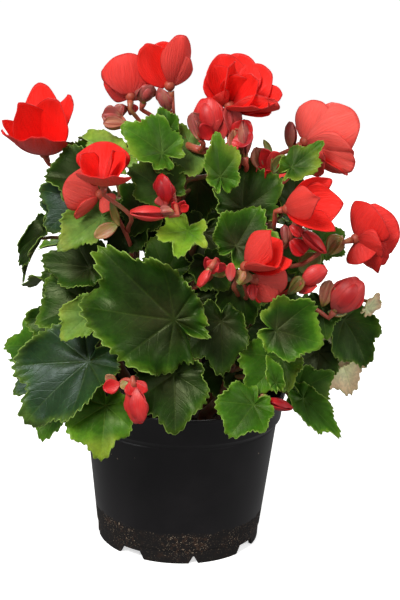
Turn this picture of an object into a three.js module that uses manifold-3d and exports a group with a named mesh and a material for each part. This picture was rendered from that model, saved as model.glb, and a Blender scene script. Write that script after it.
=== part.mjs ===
// Potted begonia: a 13 cm nursery pot, its soil, leafy stems, open blooms and closed buds.
// Millimetres, +Z up. The plant's front faces -Y, and the origin is the centre of the pot's base.

import * as THREE from "three";
import { mergeVertices } from "three/addons/utils/BufferGeometryUtils.js";
import Module from "manifold-3d";

const wasm = await Module();
wasm.setup();

// Pot sizes
const POT_HEIGHT = 100;
const POT_BASE_RADIUS = 53;
const POT_STEP_HEIGHT = 9.6;
const POT_WALL_TOP = 79;
const POT_WALL_TOP_RADIUS = 61.3;
const COLLAR_BOTTOM = 83.5;
const COLLAR_BOTTOM_RADIUS = 64;
const COLLAR_TOP_RADIUS = 65.2;
const LIP_RADIUS = 66;
const LIP_HEIGHT = 2;
const POT_WALL = 1.4;
const FLOOR_UNDERSIDE = 6;
const FLOOR_THICKNESS = 1.6;
const FOOT_WALL = 2.4;
const FOOT_INSET = 0.6;
const STEP_PROUD = 0.5;
const CREASE_RISE = 1.2;
const GROOVE_DEPTH = 0.3;
const INNER_STEP = 0.4;
const CUTTER_DEPTH = 12;
const CUTTER_PROUD = 3;
const POT_SIDES = 26;
const FOOT_COUNT = 4;
const FIRST_FOOT_TURN = 12;
const RECESS_TOP_WIDTH = 13;
const RECESS_BOTTOM_WIDTH = 19;
const RECESS_HEIGHT = 5.4;
const NOTCH_WIDTH = 6.4;
const NOTCH_PEAK_WIDTH = 0.6;
const NOTCH_HEIGHT = 5;
const DRAIN_RADIUS = 4;
const DRAIN_RING_RADIUS = 36;
const DRAIN_SIDES = 10;

// Soil sizes
const SOIL_TOP = 88;
const SOIL_SIDES = 16;
const SOIL_RINGS = [24, 46];
const SOIL_ROUGHNESS = 1.2;
const SOIL_EDGE_DROP = 1.5;
const SOIL_SLACK = 0.4;
const FIT_GAP = 0.3;
const HOLE_GAP = 0.4;
const ROOT_DEPTH = 34;
const HOLE_SIDES = 8;
const COLLAR_RISE = 3;
const HOLE_REACH = 1.5;
const LUMP_TURNS = { x: 0.21, y: 0.17, across: 0.4 };
const LUMP_SHIFT = 1.3;
const LUMP_SHARE = 0.5;

// Stems, leaf stalks and flower stalks
const STEM_SIDES = 6;
const STEM_STEPS = 5;
const STEM_RADIUS = 3.6;
const STEM_TIP_RADIUS = 2.4;
const STALK_SIDES = 3;
const STALK_STEPS = 2;
const LEAF_STALK_RADIUS = 1.7;
const LEAF_STALK_END_RADIUS = 1.1;
const STALK_SEAT = 4;
const STALK_NECK = 2;
const STALK_SAG = 0.3;
const STALK_RISE = 0.12;
const STALK_DRAW_BACK = 0.7;
const STALK_LEAN = 0.25;
const STEEP = 0.9;
const FLOWER_STALK_RADIUS = 1.3;
const FLOWER_KNOB_RADIUS = 2.1;
const FLOWER_NECK = 5;

// Blades and petals
const BLADE = 0.7;
const LEAF_WAVES = 3;
const RIM_POINTS = 14;
const LARGE_RIM_POINTS = 18;
const LARGE_LEAF = 38;
const LEAF_HEART = [0.68, 0.27, 0.05];
const LEAF_LOBES = 7;
const LEAF_LOBE_DEPTH = 0.025;
const LEAF_NOTCH_DEPTH = 0.62;
const LEAF_NOTCH_SPREAD = 0.28;
const LEAF_POINT_RISE = 0.1;
const LEAF_POINT_SPREAD = 0.2;
const TOOTH_DEPTH = 0.06;
const INNER_SHARE = 0.56;
const PETAL = 0.7;
const PETAL_OUTLINE = [
  [-1, 0],
  [1, 0],
  [1, 0.48],
  [0.86, 0.93],
  [0, 1],
  [-0.86, 0.93],
  [-1, 0.48],
];
const PETAL_BOWL = 0.5;
const PETAL_NECK = 0.2;
const PETAL_WIDEST = 0.54;
const PETAL_NARROWING = 0.26;
const PETAL_ARCH = 0.16;
const PETAL_WAVES = 4;
const RECEPTACLE_RADIUS = 3.2;
const BUD_FLATNESS = 0.75;
const BUD_SIDES = 7;
const BUD_RINGS = 5;
const SMALLEST_EDGE = 0.1;

const UP = new THREE.Vector3(0, 0, 1);
const vec = (p) => new THREE.Vector3(p[0], p[1], p[2]);
const radians = THREE.MathUtils.degToRad;
const bump = (x) => Math.exp(-x * x);

// Solids
function solidOf(geometry) {
  const bare = geometry.clone();
  bare.deleteAttribute("normal");
  bare.deleteAttribute("uv");
  const merged = mergeVertices(bare, 1e-4);
  const vertProperties = new Float32Array(merged.attributes.position.array);
  const triVerts = new Uint32Array(merged.index.array);
  return new wasm.Manifold(new wasm.Mesh({ numProp: 3, vertProperties, triVerts }));
}

function solidOfTriangles(points, triangles) {
  const geometry = new THREE.BufferGeometry();
  const numbers = points.flatMap((p) => [p.x, p.y, p.z]);
  geometry.setAttribute("position", new THREE.Float32BufferAttribute(numbers, 3));
  geometry.setIndex(triangles.flat());
  return solidOf(geometry);
}

// A union can seal a hollow between petals or leave a crumb: only its outer shell is kept.
function outerShell(solid) {
  return solid.decompose().reduce((a, b) => (b.volume() > a.volume() ? b : a));
}

function meshOf(name, solid, material) {
  const { vertProperties, triVerts } = outerShell(solid.simplify(SMALLEST_EDGE)).getMesh();
  const geometry = new THREE.BufferGeometry();
  geometry.setAttribute("position", new THREE.BufferAttribute(vertProperties, 3));
  geometry.setIndex(new THREE.BufferAttribute(triVerts, 1));
  geometry.computeVertexNormals();
  const mesh = new THREE.Mesh(geometry, material);
  mesh.name = name;
  return mesh;
}

// A thin solid round a middle surface: both faces are split into the same triangles.
function sheetSolid(points, triangles, rim, thickness) {
  const normals = points.map(() => new THREE.Vector3());
  for (const [a, b, c] of triangles) {
    const ab = points[b].clone().sub(points[a]);
    const face = ab.cross(points[c].clone().sub(points[a]));
    [a, b, c].forEach((i) => normals[i].add(face));
  }
  const half = thickness / 2;
  const upper = points.map((p, i) => p.clone().addScaledVector(normals[i].normalize(), half));
  const lower = points.map((p, i) => p.clone().addScaledVector(normals[i], -half));
  const count = points.length;
  const faces = triangles.flatMap(([a, b, c]) => [
    [a, b, c],
    [c + count, b + count, a + count],
  ]);
  rim.forEach((a, i) => {
    const b = rim[(i + 1) % rim.length];
    faces.push([a, a + count, b + count], [a, b + count, b]);
  });
  return solidOfTriangles([...upper, ...lower], faces);
}

// A round tube through the given points, with a radius at each of them.
function tubeSolid(points, radii, sides) {
  const rings = [];
  const first = points[1].clone().sub(points[0]).normalize();
  const start = Math.abs(first.z) > STEEP ? new THREE.Vector3(1, 0, 0) : UP;
  let side = start.clone().cross(first).normalize();
  points.forEach((p, i) => {
    const before = points[Math.max(i - 1, 0)];
    const after = points[Math.min(i + 1, points.length - 1)];
    const along = after.clone().sub(before).normalize();
    side = side.addScaledVector(along, -side.dot(along)).normalize();
    const other = along.clone().cross(side);
    for (let k = 0; k < sides; k += 1) {
      const angle = (2 * Math.PI * k) / sides;
      const ringPoint = p.clone().addScaledVector(side, radii[i] * Math.cos(angle));
      rings.push(ringPoint.addScaledVector(other, radii[i] * Math.sin(angle)));
    }
  });
  const faces = [];
  for (let i = 0; i < points.length - 1; i += 1) {
    for (let k = 0; k < sides; k += 1) {
      const a = i * sides + k;
      const b = i * sides + ((k + 1) % sides);
      faces.push([a, b, b + sides], [a, b + sides, a + sides]);
    }
  }
  const last = (points.length - 1) * sides;
  for (let k = 1; k < sides - 1; k += 1) {
    faces.push([0, k + 1, k], [last, last + k, last + k + 1]);
  }
  return solidOfTriangles(rings, faces);
}

function taper(from, to, count) {
  return Array.from({ length: count }, (_, i) => from + ((to - from) * i) / (count - 1));
}

// Leaf blades
// The outline is a lopsided heart about the point where the stalk joins it. Angle 0 points to
// the tip, and the radius is a share of the length from the stalk to the tip.
function leafRadius(angle, leaf) {
  const [size, forward, squareness] = LEAF_HEART;
  const heart = size + forward * Math.cos(angle) + squareness * Math.cos(2 * angle);
  const lopsided = 1 + leaf.lean * Math.sin(angle);
  const notch = 1 - LEAF_NOTCH_DEPTH * bump((Math.PI - Math.abs(angle)) / LEAF_NOTCH_SPREAD);
  const point = 1 - LEAF_POINT_RISE * (1 - bump(angle / LEAF_POINT_SPREAD));
  const lobes = 1 - LEAF_LOBE_DEPTH * (1 - Math.cos(LEAF_LOBES * angle));
  return heart * lopsided * notch * point * lobes;
}

// The middle surface of a blade: cupped, waved towards the rim, rolled about its length and bent
// along it. The frame is scaled and turned so that the bent tip still reaches its place.
function leafSurface(leaf) {
  const at = vec(leaf.at);
  const reach = vec(leaf.tip).sub(at);
  const along = reach.clone().normalize();
  const face = vec(leaf.face);
  const normal = face.addScaledVector(along, -face.dot(along)).normalize();
  const side = along.clone().cross(normal);
  const halfBend = leaf.bend / 2;
  const length = (reach.length() * halfBend) / Math.sin(halfBend);
  const lift = along.clone().multiplyScalar(Math.cos(halfBend)).addScaledVector(normal, Math.sin(halfBend));
  const out = normal.clone().multiplyScalar(Math.cos(halfBend)).addScaledVector(along, -Math.sin(halfBend));
  return (share, angle, reachShare) => {
    const across = share * reachShare * Math.sin(angle) * leaf.wide * length;
    const forward = share * reachShare * Math.cos(angle) * length;
    const wave = leaf.wave * share ** 3 * Math.sin(LEAF_WAVES * angle + leaf.phase);
    const height = length * (leaf.cup * share ** 2 + wave);
    const rollRadius = length / leaf.roll;
    const turn = across / rollRadius;
    const x = (rollRadius - height) * Math.sin(turn);
    const rise = rollRadius - (rollRadius - height) * Math.cos(turn);
    const bendRadius = length / leaf.bend;
    const tilt = forward / bendRadius;
    const y = (bendRadius + rise) * Math.sin(tilt);
    const z = (bendRadius + rise) * Math.cos(tilt) - bendRadius;
    return at.clone().addScaledVector(side, x).addScaledVector(lift, y).addScaledVector(out, z);
  };
}

const LEAF_DEFAULTS = { wide: 1, lean: 0.15, cup: 0.1, wave: 0.05, roll: 0.4, bend: 0.5 };
const WAVE_SHIFT = 1.3;

// The blade is a fan about the stalk out to a toothed rim. A large one has a ring between them,
// with half as many points.
function leafRing(surface, leaf, share, count, toothed) {
  return Array.from({ length: count }, (_, i) => {
    const angle = Math.PI - (2 * Math.PI * i) / count;
    const tooth = toothed && i % 2 === 0 ? 1 - TOOTH_DEPTH : 1;
    return surface(share, angle, leafRadius(angle, leaf) * tooth);
  });
}

function leafSheet(leaf) {
  const surface = leafSurface(leaf);
  const centre = surface(0, 0, 0);
  const isLarge = vec(leaf.at).distanceTo(vec(leaf.tip)) > LARGE_LEAF;
  const count = isLarge ? LARGE_RIM_POINTS : RIM_POINTS;
  const outer = leafRing(surface, leaf, 1, count, true);
  if (!isLarge) {
    const rim = outer.map((_, i) => 1 + i);
    const triangles = rim.map((corner, i) => [0, corner, rim[(i + 1) % count]]);
    return { points: [centre, ...outer], rim, triangles, fan: count };
  }
  const half = count / 2;
  const rim = outer.map((_, i) => 1 + half + i);
  const triangles = [];
  for (let i = 0; i < half; i += 1) {
    const inner = 1 + i;
    const nextInner = 1 + ((i + 1) % half);
    const middle = rim[2 * i + 1];
    const nextOuter = rim[(2 * i + 2) % count];
    triangles.push([0, inner, nextInner], [inner, rim[2 * i], middle]);
    triangles.push([inner, middle, nextInner], [nextInner, middle, nextOuter]);
  }
  const points = [centre, ...leafRing(surface, leaf, INNER_SHARE, half, false), ...outer];
  return { points, rim, triangles, fan: half };
}

function leafSolid(leaf) {
  const { points, rim, triangles } = leafSheet(leaf);
  return sheetSolid(points, triangles, rim, BLADE);
}

// Petals
// A broad spoon shape: it widens from a neck to half way along, and its far edge is
// an arch. It curls across its width and bends along its length towards its inner face.
function petalGirth(t) {
  const before = t / PETAL_WIDEST;
  const beyond = (t - PETAL_WIDEST) / (1 - PETAL_WIDEST);
  if (before < 1) return PETAL_NECK + (1 - PETAL_NECK) * Math.sin((Math.PI / 2) * before);
  return 1 - PETAL_NARROWING * beyond ** 2;
}

function petalSurface(petal) {
  const halfBend = petal.bend / 2;
  const reach = vec(petal.tip).sub(petal.at);
  const ahead = reach.clone().normalize();
  const face = vec(petal.face);
  const normal = face.addScaledVector(ahead, -face.dot(ahead)).normalize();
  const across = normal.clone().cross(ahead);
  const along = ahead.clone().applyAxisAngle(across, halfBend);
  const inner = normal.applyAxisAngle(across, halfBend);
  const side = along.clone().cross(inner);
  const length = (reach.length() * halfBend) / Math.sin(halfBend);
  const bendRadius = length / petal.bend;
  const rollRadius = petal.width / 2 / petal.curl;
  return (s, t) => {
    const turn = (s * petalGirth(t) * petal.width) / 2 / rollRadius;
    const ruffle = petal.ruffle * length * t ** 3 * Math.sin(PETAL_WAVES * s + petal.phase);
    const rise = rollRadius * (1 - Math.cos(turn)) + ruffle;
    const x = rollRadius * Math.sin(turn);
    const forward = (length * (t - PETAL_ARCH * s * s * t ** 3)) / bendRadius;
    const y = (bendRadius - rise) * Math.sin(forward);
    const z = bendRadius - (bendRadius - rise) * Math.cos(forward);
    const point = petal.at.clone().addScaledVector(side, x).addScaledVector(along, y);
    return point.addScaledVector(inner, z);
  };
}

// The petal is a fan about a point in its bowl, out to the corners of its outline.
function petalSolid(petal) {
  const surface = petalSurface(petal);
  const points = [surface(0, PETAL_BOWL), ...PETAL_OUTLINE.map(([s, t]) => surface(s, t))];
  const rim = PETAL_OUTLINE.map((_, i) => i + 1);
  const triangles = rim.map((corner, i) => [0, corner, rim[(i + 1) % rim.length]]);
  return sheetSolid(points, triangles, rim, PETAL);
}

const PETAL_DEFAULTS = { bend: 0.5, curl: 0.6, ruffle: 0.03, foot: 2 };

// Each petal's foot stands out from the flower's axis, towards the petal's own tip.
function bloomSolid(bloom) {
  const axis = vec(bloom.axis).normalize();
  const base = vec(bloom.base);
  const upright = new THREE.Quaternion().setFromUnitVectors(UP, axis);
  const receptacle = new THREE.OctahedronGeometry(RECEPTACLE_RADIUS).applyQuaternion(upright);
  const core = solidOf(receptacle).translate(bloom.base);
  const petals = bloom.petals.map((spec, i) => {
    const petal = { ...PETAL_DEFAULTS, phase: WAVE_SHIFT * i, ...spec };
    const reach = vec(petal.tip).sub(base);
    const away = reach.addScaledVector(axis, -reach.dot(axis)).normalize();
    petal.at = base.clone().addScaledVector(away, petal.foot);
    return petalSolid(petal);
  });
  return wasm.Manifold.union([core, ...petals]);
}

// A closed bud is two clasped tepals: a flattened egg from its base to its tip.
function budSolid(bud) {
  const base = vec(bud.base);
  const along = vec(bud.tip).sub(base);
  const egg = new THREE.SphereGeometry(1, BUD_SIDES, BUD_RINGS).rotateX(Math.PI / 2);
  const frame = new THREE.Matrix4();
  const side = along.clone().cross(UP).normalize();
  const flat = along.clone().cross(side).normalize();
  frame.makeBasis(
    side.multiplyScalar(bud.width / 2),
    flat.multiplyScalar((bud.width / 2) * BUD_FLATNESS),
    along.clone().multiplyScalar(0.5),
  );
  frame.setPosition(base.clone().addScaledVector(along, 0.5));
  return solidOf(egg.applyMatrix4(frame));
}

// Pot
function ringSector(width, topWidth, height) {
  const outline = new THREE.Shape();
  outline.moveTo(-width / 2, -1);
  outline.lineTo(width / 2, -1);
  outline.lineTo(topWidth / 2, height);
  outline.lineTo(-topWidth / 2, height);
  outline.closePath();
  return outline;
}

// A prism that runs outwards through the foot ring, at a turn measured from the front.
function footCutter(outline, turn) {
  const geometry = new THREE.ExtrudeGeometry(outline, { depth: CUTTER_DEPTH, bevelEnabled: false });
  geometry.translate(0, 0, POT_BASE_RADIUS - CUTTER_DEPTH + CUTTER_PROUD);
  geometry.rotateX(Math.PI / 2);
  geometry.rotateZ(radians(turn));
  return solidOf(geometry);
}

function potSolid() {
  const floorTop = FLOOR_UNDERSIDE + FLOOR_THICKNESS;
  const footOuter = POT_BASE_RADIUS - FOOT_INSET;
  const footInner = footOuter - FOOT_WALL;
  const profile = [
    [0, FLOOR_UNDERSIDE],
    [footInner, FLOOR_UNDERSIDE],
    [footInner, 0],
    [footOuter, 0],
    [footOuter + INNER_STEP, POT_STEP_HEIGHT - CREASE_RISE],
    [POT_BASE_RADIUS + STEP_PROUD, POT_STEP_HEIGHT],
    [POT_WALL_TOP_RADIUS, POT_WALL_TOP],
    [POT_WALL_TOP_RADIUS - GROOVE_DEPTH, POT_WALL_TOP + CREASE_RISE],
    [COLLAR_BOTTOM_RADIUS, COLLAR_BOTTOM],
    [COLLAR_TOP_RADIUS, POT_HEIGHT - LIP_HEIGHT],
    [LIP_RADIUS, POT_HEIGHT - LIP_HEIGHT],
    [LIP_RADIUS, POT_HEIGHT],
    [COLLAR_TOP_RADIUS - POT_WALL, POT_HEIGHT],
    [COLLAR_BOTTOM_RADIUS - POT_WALL - INNER_STEP, COLLAR_BOTTOM + INNER_STEP],
    [POT_WALL_TOP_RADIUS - POT_WALL, POT_WALL_TOP],
    [POT_BASE_RADIUS - POT_WALL, floorTop],
    [0, floorTop],
  ].map(([radius, z]) => new THREE.Vector2(radius, z));
  const wall = solidOf(new THREE.LatheGeometry(profile, POT_SIDES).rotateX(Math.PI / 2));
  const cutters = [];
  for (let foot = 0; foot < FOOT_COUNT; foot += 1) {
    const middle = FIRST_FOOT_TURN + (360 / FOOT_COUNT) * foot;
    const between = middle + 180 / FOOT_COUNT;
    cutters.push(footCutter(ringSector(NOTCH_WIDTH, NOTCH_PEAK_WIDTH, NOTCH_HEIGHT), middle));
    cutters.push(footCutter(ringSector(RECESS_BOTTOM_WIDTH, RECESS_TOP_WIDTH, RECESS_HEIGHT), between));
    const drain = new THREE.CylinderGeometry(DRAIN_RADIUS, DRAIN_RADIUS, 3 * FLOOR_THICKNESS, DRAIN_SIDES);
    drain.rotateX(Math.PI / 2);
    drain.translate(0, -DRAIN_RING_RADIUS, FLOOR_UNDERSIDE + FLOOR_THICKNESS / 2);
    cutters.push(solidOf(drain.rotateZ(radians(between))));
  }
  return wall.subtract(wasm.Manifold.union(cutters));
}

// Soil: it fills the pot up to an uneven top, and each stem stands in a plain hole of its own.
function soilSolid(shoots) {
  const bottom = FLOOR_UNDERSIDE + FLOOR_THICKNESS + FIT_GAP;
  const wallRadius = (z) => {
    const share = (z - bottom) / (POT_WALL_TOP - bottom);
    return POT_BASE_RADIUS - POT_WALL + (POT_WALL_TOP_RADIUS - POT_BASE_RADIUS) * share - 2 * FIT_GAP;
  };
  const profile = [
    [0, bottom],
    [wallRadius(bottom) - SOIL_SLACK, bottom],
    [wallRadius(POT_WALL_TOP) - SOIL_SLACK, POT_WALL_TOP],
    [wallRadius(POT_WALL_TOP), SOIL_TOP - SOIL_EDGE_DROP],
    ...[...SOIL_RINGS].reverse().map((radius) => [radius, SOIL_TOP]),
    [0, SOIL_TOP],
  ].map(([radius, z]) => new THREE.Vector2(radius, z));
  const geometry = new THREE.LatheGeometry(profile, SOIL_SIDES).rotateX(Math.PI / 2);
  const position = geometry.attributes.position;
  for (let i = 0; i < position.count; i += 1) {
    if (position.getZ(i) > SOIL_TOP - SMALLEST_EDGE) {
      const x = position.getX(i);
      const y = position.getY(i);
      const broad = Math.sin(LUMP_TURNS.x * x + LUMP_SHIFT) * Math.cos(LUMP_TURNS.y * y);
      const lumps = broad + LUMP_SHARE * Math.sin(LUMP_TURNS.across * (x + y));
      position.setZ(i, SOIL_TOP + SOIL_ROUGHNESS * lumps);
    }
  }
  const holes = shoots.map(({ stem: [[x, y]] }) => {
    const radius = STEM_RADIUS + HOLE_GAP;
    const length = HOLE_REACH * ROOT_DEPTH;
    const hole = new THREE.CylinderGeometry(radius, radius, length, HOLE_SIDES);
    hole.rotateX(Math.PI / 2);
    hole.translate(x, y, SOIL_TOP - ROOT_DEPTH - FIT_GAP + length / 2);
    return solidOf(hole);
  });
  return solidOf(geometry).subtract(wasm.Manifold.union(holes));
}

// Leafy stems
// A stem rises straight out of its hole, then follows its points. Each leaf's stalk leaves the
// stem at a share of its length and comes up under the blade from behind. Flower stalks leave it
// the same way and end in a knob just short of the bloom or bud that they carry.
function stemCurve(shoot) {
  const [[x, y], ...rest] = shoot.stem;
  const start = new THREE.Vector3(x, y, SOIL_TOP + COLLAR_RISE);
  return new THREE.CatmullRomCurve3([start, ...rest.map(vec)]);
}

function stemSolid(shoot) {
  const points = stemCurve(shoot).getPoints(STEM_STEPS);
  const root = points[0].clone().setZ(SOIL_TOP - ROOT_DEPTH);
  const radii = taper(STEM_RADIUS, STEM_TIP_RADIUS, points.length);
  return tubeSolid([root, ...points], [STEM_RADIUS, ...radii], STEM_SIDES);
}

// The stalk ends square to the blade, just in front of the notch, on the fan's line to the tip.
function leafStalkSolid(shoot, leaf) {
  const start = stemCurve(shoot).getPoint(leaf.from);
  const { points: [centre, ...around], fan } = leafSheet(leaf);
  const before = around[Math.ceil(fan / 2) - 1].clone().sub(centre);
  const after = around[Math.floor(fan / 2) + 1].clone().sub(centre);
  const normal = before.clone().cross(after).normalize();
  const ahead = fan % 2 === 0 ? around[fan / 2].clone().sub(centre) : before.add(after);
  const along = ahead.normalize();
  const end = centre.addScaledVector(along, STALK_SEAT);
  const span = end.distanceTo(start);
  const neck = end.clone().addScaledVector(normal, -STALK_NECK);
  const sag = STALK_SAG * span;
  const under = neck.clone().addScaledVector(normal, -sag);
  under.addScaledVector(along, -STALK_DRAW_BACK * sag);
  const rise = start.clone().addScaledVector(UP, STALK_RISE * span).lerp(under, STALK_LEAN);
  const curve = leaf.via
    ? new THREE.CatmullRomCurve3([start, vec(leaf.via), neck])
    : new THREE.CubicBezierCurve3(start, rise, under, neck);
  const points = [...curve.getPoints(STALK_STEPS), end];
  const radii = taper(LEAF_STALK_RADIUS, LEAF_STALK_END_RADIUS, points.length - 1);
  return tubeSolid(points, [...radii, LEAF_STALK_END_RADIUS], STALK_SIDES);
}

function flowerStalkSolid(shoot, stalk, carried) {
  const start = stemCurve(shoot).getPoint(stalk.from);
  const base = vec(carried.base);
  const axis = (carried.axis ? vec(carried.axis) : vec(carried.tip).sub(base)).normalize();
  const seat = carried.axis ? RECEPTACLE_RADIUS + FIT_GAP : FIT_GAP;
  const end = base.clone().addScaledVector(axis, -seat);
  const neck = end.clone().addScaledVector(axis, -FLOWER_NECK);
  const route = [start, ...(stalk.via ?? []).map(vec), neck];
  const points = [...new THREE.CatmullRomCurve3(route).getPoints(STALK_STEPS), end];
  const radii = [...points.slice(1).map(() => FLOWER_STALK_RADIUS), FLOWER_KNOB_RADIUS];
  return tubeSolid(points, radii, STALK_SIDES);
}

// Each leaf is given by its stalk's seat, its tip and the way its upper side faces.
const SHOOTS = [
  {
    name: "shoot_left_high",
    stem: [[-18, -6], [-24, -14, 130], [-32, -26, 185], [-40, -32, 228]],
    leaves: [
      { from: 1, at: [-42, -42, 251], tip: [-67, -18, 257], face: [0, -3, 9], bend: 0.9, wide: 0.5 },
      { from: 0.9, at: [-58, -40, 238], tip: [-85, -36, 238], face: [-4, -8, 5], wide: 1.15 },
      { from: 0.75, at: [-63, -35, 226], tip: [-82, -35, 205], face: [-3, -9, 4], wide: 1.2 },
      {
        from: 0.6, at: [-87, -24, 203], tip: [-98, -21, 169], face: [-8, -6, 2], wide: 0.45,
        roll: 1.6,
      },
      { from: 0.6, at: [-32, -40, 216], tip: [-42, -42, 192], face: [-1, -8, 4], wide: 1.2 },
      { from: 0.8, at: [-49, -58, 220], tip: [-72, -68, 200], face: [-1, -8, 6], wide: 0.75 },
    ],
    flowers: [
      { to: "bloom_far_left", from: 0.95 },
      { to: "bloom_left_cup", from: 0.8, via: [[-34, -56, 214], [-32, -79, 227]] },
      { to: "bloom_left_fan", from: 0.7, via: [[-34, -50, 206]] },
    ],
  },
  {
    name: "shoot_left_low",
    stem: [[-24, 6], [-38, -10, 110], [-46, -24, 145], [-50, -34, 178]],
    leaves: [
      { from: 1, at: [-56, -55, 189], tip: [-85, -46, 189], face: [-3, -8, 5] },
      { from: 0.9, at: [-70, -30, 178], tip: [-84, -32, 162], face: [-4, -8, 4] },
      { from: 0.8, at: [-57, -54, 168], tip: [-86, -54, 152], face: [-3, -8, 5], wide: 1.1 },
      { from: 0.9, at: [-52, -80, 169], tip: [-69, -86, 153], face: [-1, -9, 5], wide: 0.9 },
      {
        from: 0.6, at: [-54, -78, 139], tip: [-90, -86, 101], face: [-3, -8, 6], lean: 0.1,
        wave: 0.08,
      },
      { from: 0.4, at: [-92, 16, 116], tip: [-118, 34, 109], face: [-4, -4, 8], wide: 1.1 },
      { from: 0.45, via: [-62, -18, 114], at: [-70, -24, 102], tip: [-82, -36, 71], face: [-5, -7, 4] },
    ],
    flowers: [],
  },
  {
    name: "shoot_front",
    stem: [[-4, -22], [-4, -36, 125], [0, -46, 170], [4, -52, 208]],
    leaves: [
      {
        from: 0.55, at: [-5, -88, 169], tip: [-50, -76, 208], face: [-1, -9, 3], wide: 0.88,
        lean: -0.32, wave: 0.1,
      },
      {
        from: 1, at: [1, -76, 218], tip: [-4, -92, 203], face: [0, -8, 5], wide: 1.15, cup: 0.15,
        wave: 0.12,
      },
      { from: 0.95, at: [10, -44, 210], tip: [2, -56, 182], face: [0, -8, 4], wide: 1.2 },
    ],
    flowers: [
      { to: "bud_centre", from: 0.7, via: [[14, -66, 188]] },
    ],
  },
  {
    name: "shoot_front_left_low",
    stem: [[-12, -36], [-18, -48, 104], [-20, -58, 118]],
    leaves: [
      { from: 1, at: [-43, -88, 116], tip: [-44, -100, 86], face: [0, -8, 5], wide: 1.05 },
      { from: 0.9, at: [-4, -86, 136], tip: [-2, -99, 104], face: [0, -8, 5], wide: 1.15 },
    ],
    flowers: [
      { to: "bud_low_left", from: 1, via: [[-26, -84, 132]] },
    ],
  },
  {
    name: "shoot_front_right_low",
    stem: [[14, -32], [24, -44, 108], [30, -54, 132]],
    leaves: [
      { from: 1, at: [22, -71, 164], tip: [24, -78, 133], face: [0, -9, 3], wide: 1 },
      { from: 0.9, at: [58, -70, 143], tip: [38, -81, 122], face: [0, -9, 4], wide: 1.05 },
      { from: 0.8, at: [54, -92, 135], tip: [48, -88, 150], face: [0, -9, 4], wide: 0.6, roll: 1.2 },
      { from: 0.6, at: [42, -92, 121], tip: [28, -104, 104], face: [0, -8, 5], wide: 1.2 },
    ],
    flowers: [
      { to: "bud_low_right", from: 0.4, via: [[36, -66, 116]] },
    ],
  },
  {
    name: "shoot_right_low",
    stem: [[28, -6], [48, -18, 112], [60, -26, 140], [68, -30, 162]],
    leaves: [
      { from: 0.9, at: [53, -88, 165], tip: [80, -86, 157], face: [1, -9, 3], wide: 1.2, lean: -0.2 },
      { from: 0.4, at: [73, -58, 114], tip: [95, -62, 91], face: [4, -8, 4], wide: 0.62, roll: 0.9 },
      { from: 0.3, at: [70, -48, 116], tip: [91, -38, 124], face: [3, -8, 4] },
      { from: 0.9, at: [99, -16, 152], tip: [114, -24, 123], face: [4, -8, 5], wide: 1.1 },
      { from: 0.5, at: [96, -2, 130], tip: [108, -8, 99], face: [3, -8, 3], wide: 1.05 },
      { from: 1, at: [111, -28, 163], tip: [117, -28, 174], face: [6, -7, 2], wide: 0.85 },
      { from: 0.7, at: [58, -42, 152], tip: [50, -50, 129], face: [0, -9, 3], wide: 1.2 },
      { from: 1, at: [82, -40, 168], tip: [85, -48, 148], face: [2, -9, 4] },
    ],
    flowers: [
      { to: "bud_right_lower", from: 0.9, via: [[74, -44, 168]] },
    ],
  },
  {
    name: "shoot_right_high",
    stem: [[16, -10], [28, -26, 140], [40, -36, 190], [48, -40, 214]],
    leaves: [
      { from: 0.8, at: [29, -66, 208], tip: [42, -56, 228], face: [0, -8, 5], wide: 1.35, cup: 0.2 },
      { from: 1, at: [64, -34, 225], tip: [61, -24, 246], face: [2, -8, 5] },
      { from: 0.9, at: [80, -34, 204], tip: [94, -28, 210], face: [2, -8, 5], wide: 1.3 },
      { from: 0.5, at: [33, -53, 185], tip: [38, -57, 156], face: [1, -9, 3] },
      { from: 0.8, at: [67, -46, 190], tip: [80, -38, 200], face: [2, -8, 5], wide: 1.2 },
    ],
    flowers: [
      { to: "bloom_right_cup", from: 0.9, via: [[50, -58, 216]] },
      { to: "bloom_far_right", from: 0.7, via: [[66, -58, 196], [84, -62, 210]] },
      { to: "bloom_front_cup", from: 0.5, via: [[30, -70, 182], [28, -86, 190]] },
      { to: "bloom_front_shell", from: 0.5, via: [[36, -72, 182]] },
      { to: "bud_right_upper", from: 0.8, via: [[58, -60, 208]] },
      { to: "bud_right_middle", from: 0.6, via: [[54, -68, 180]] },
    ],
  },
  {
    name: "shoot_centre",
    stem: [[-4, -4], [-8, -16, 150], [-6, -32, 215], [-2, -40, 248]],
    leaves: [
      { from: 1, at: [-15, -72, 261], tip: [-39, -68, 274], face: [1, -8, 6], wide: 1, lean: 0.1 },
      { from: 0.9, at: [2, -50, 259], tip: [-18, -60, 246], face: [0, -8, 6], wide: 1.2 },
      { from: 0.9, at: [18, -72, 249], tip: [14, -66, 273], face: [2, -9, 2], wide: 0.75 },
      { from: 0.8, at: [6, -24, 238], tip: [4, -30, 208], face: [1, -8, 4] },
      { from: 0.7, at: [-13, -64, 238], tip: [-35, -58, 250], face: [-1, -9, 4], wide: 1.1 },
    ],
    flowers: [
      { to: "bloom_top_back", from: 1, via: [[-27, -22, 268]] },
      { to: "bloom_top", from: 1, via: [[-10, -32, 276]] },
      { to: "bud_top_left", from: 1, via: [[-20, -25, 273]] },
      { to: "bud_top_middle", from: 1, via: [[-8, -36, 270]] },
      { to: "bud_upper_centre", from: 0.8, via: [[-10, -58, 230]] },
      { to: "bud_left_long", from: 0.8, via: [[-8, -72, 239]] },
    ],
  },
  {
    name: "shoot_top_right",
    stem: [[6, 6], [12, -6, 160], [24, -24, 218], [32, -34, 244]],
    leaves: [
      { from: 0.9, at: [32, -56, 228], tip: [32, -42, 255], face: [0, -8, 6], wide: 1.2 },
      { from: 1, at: [59, -56, 253], tip: [76, -47, 265], face: [2, -7, 7], wide: 0.8, wave: 0.1 },
    ],
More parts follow.
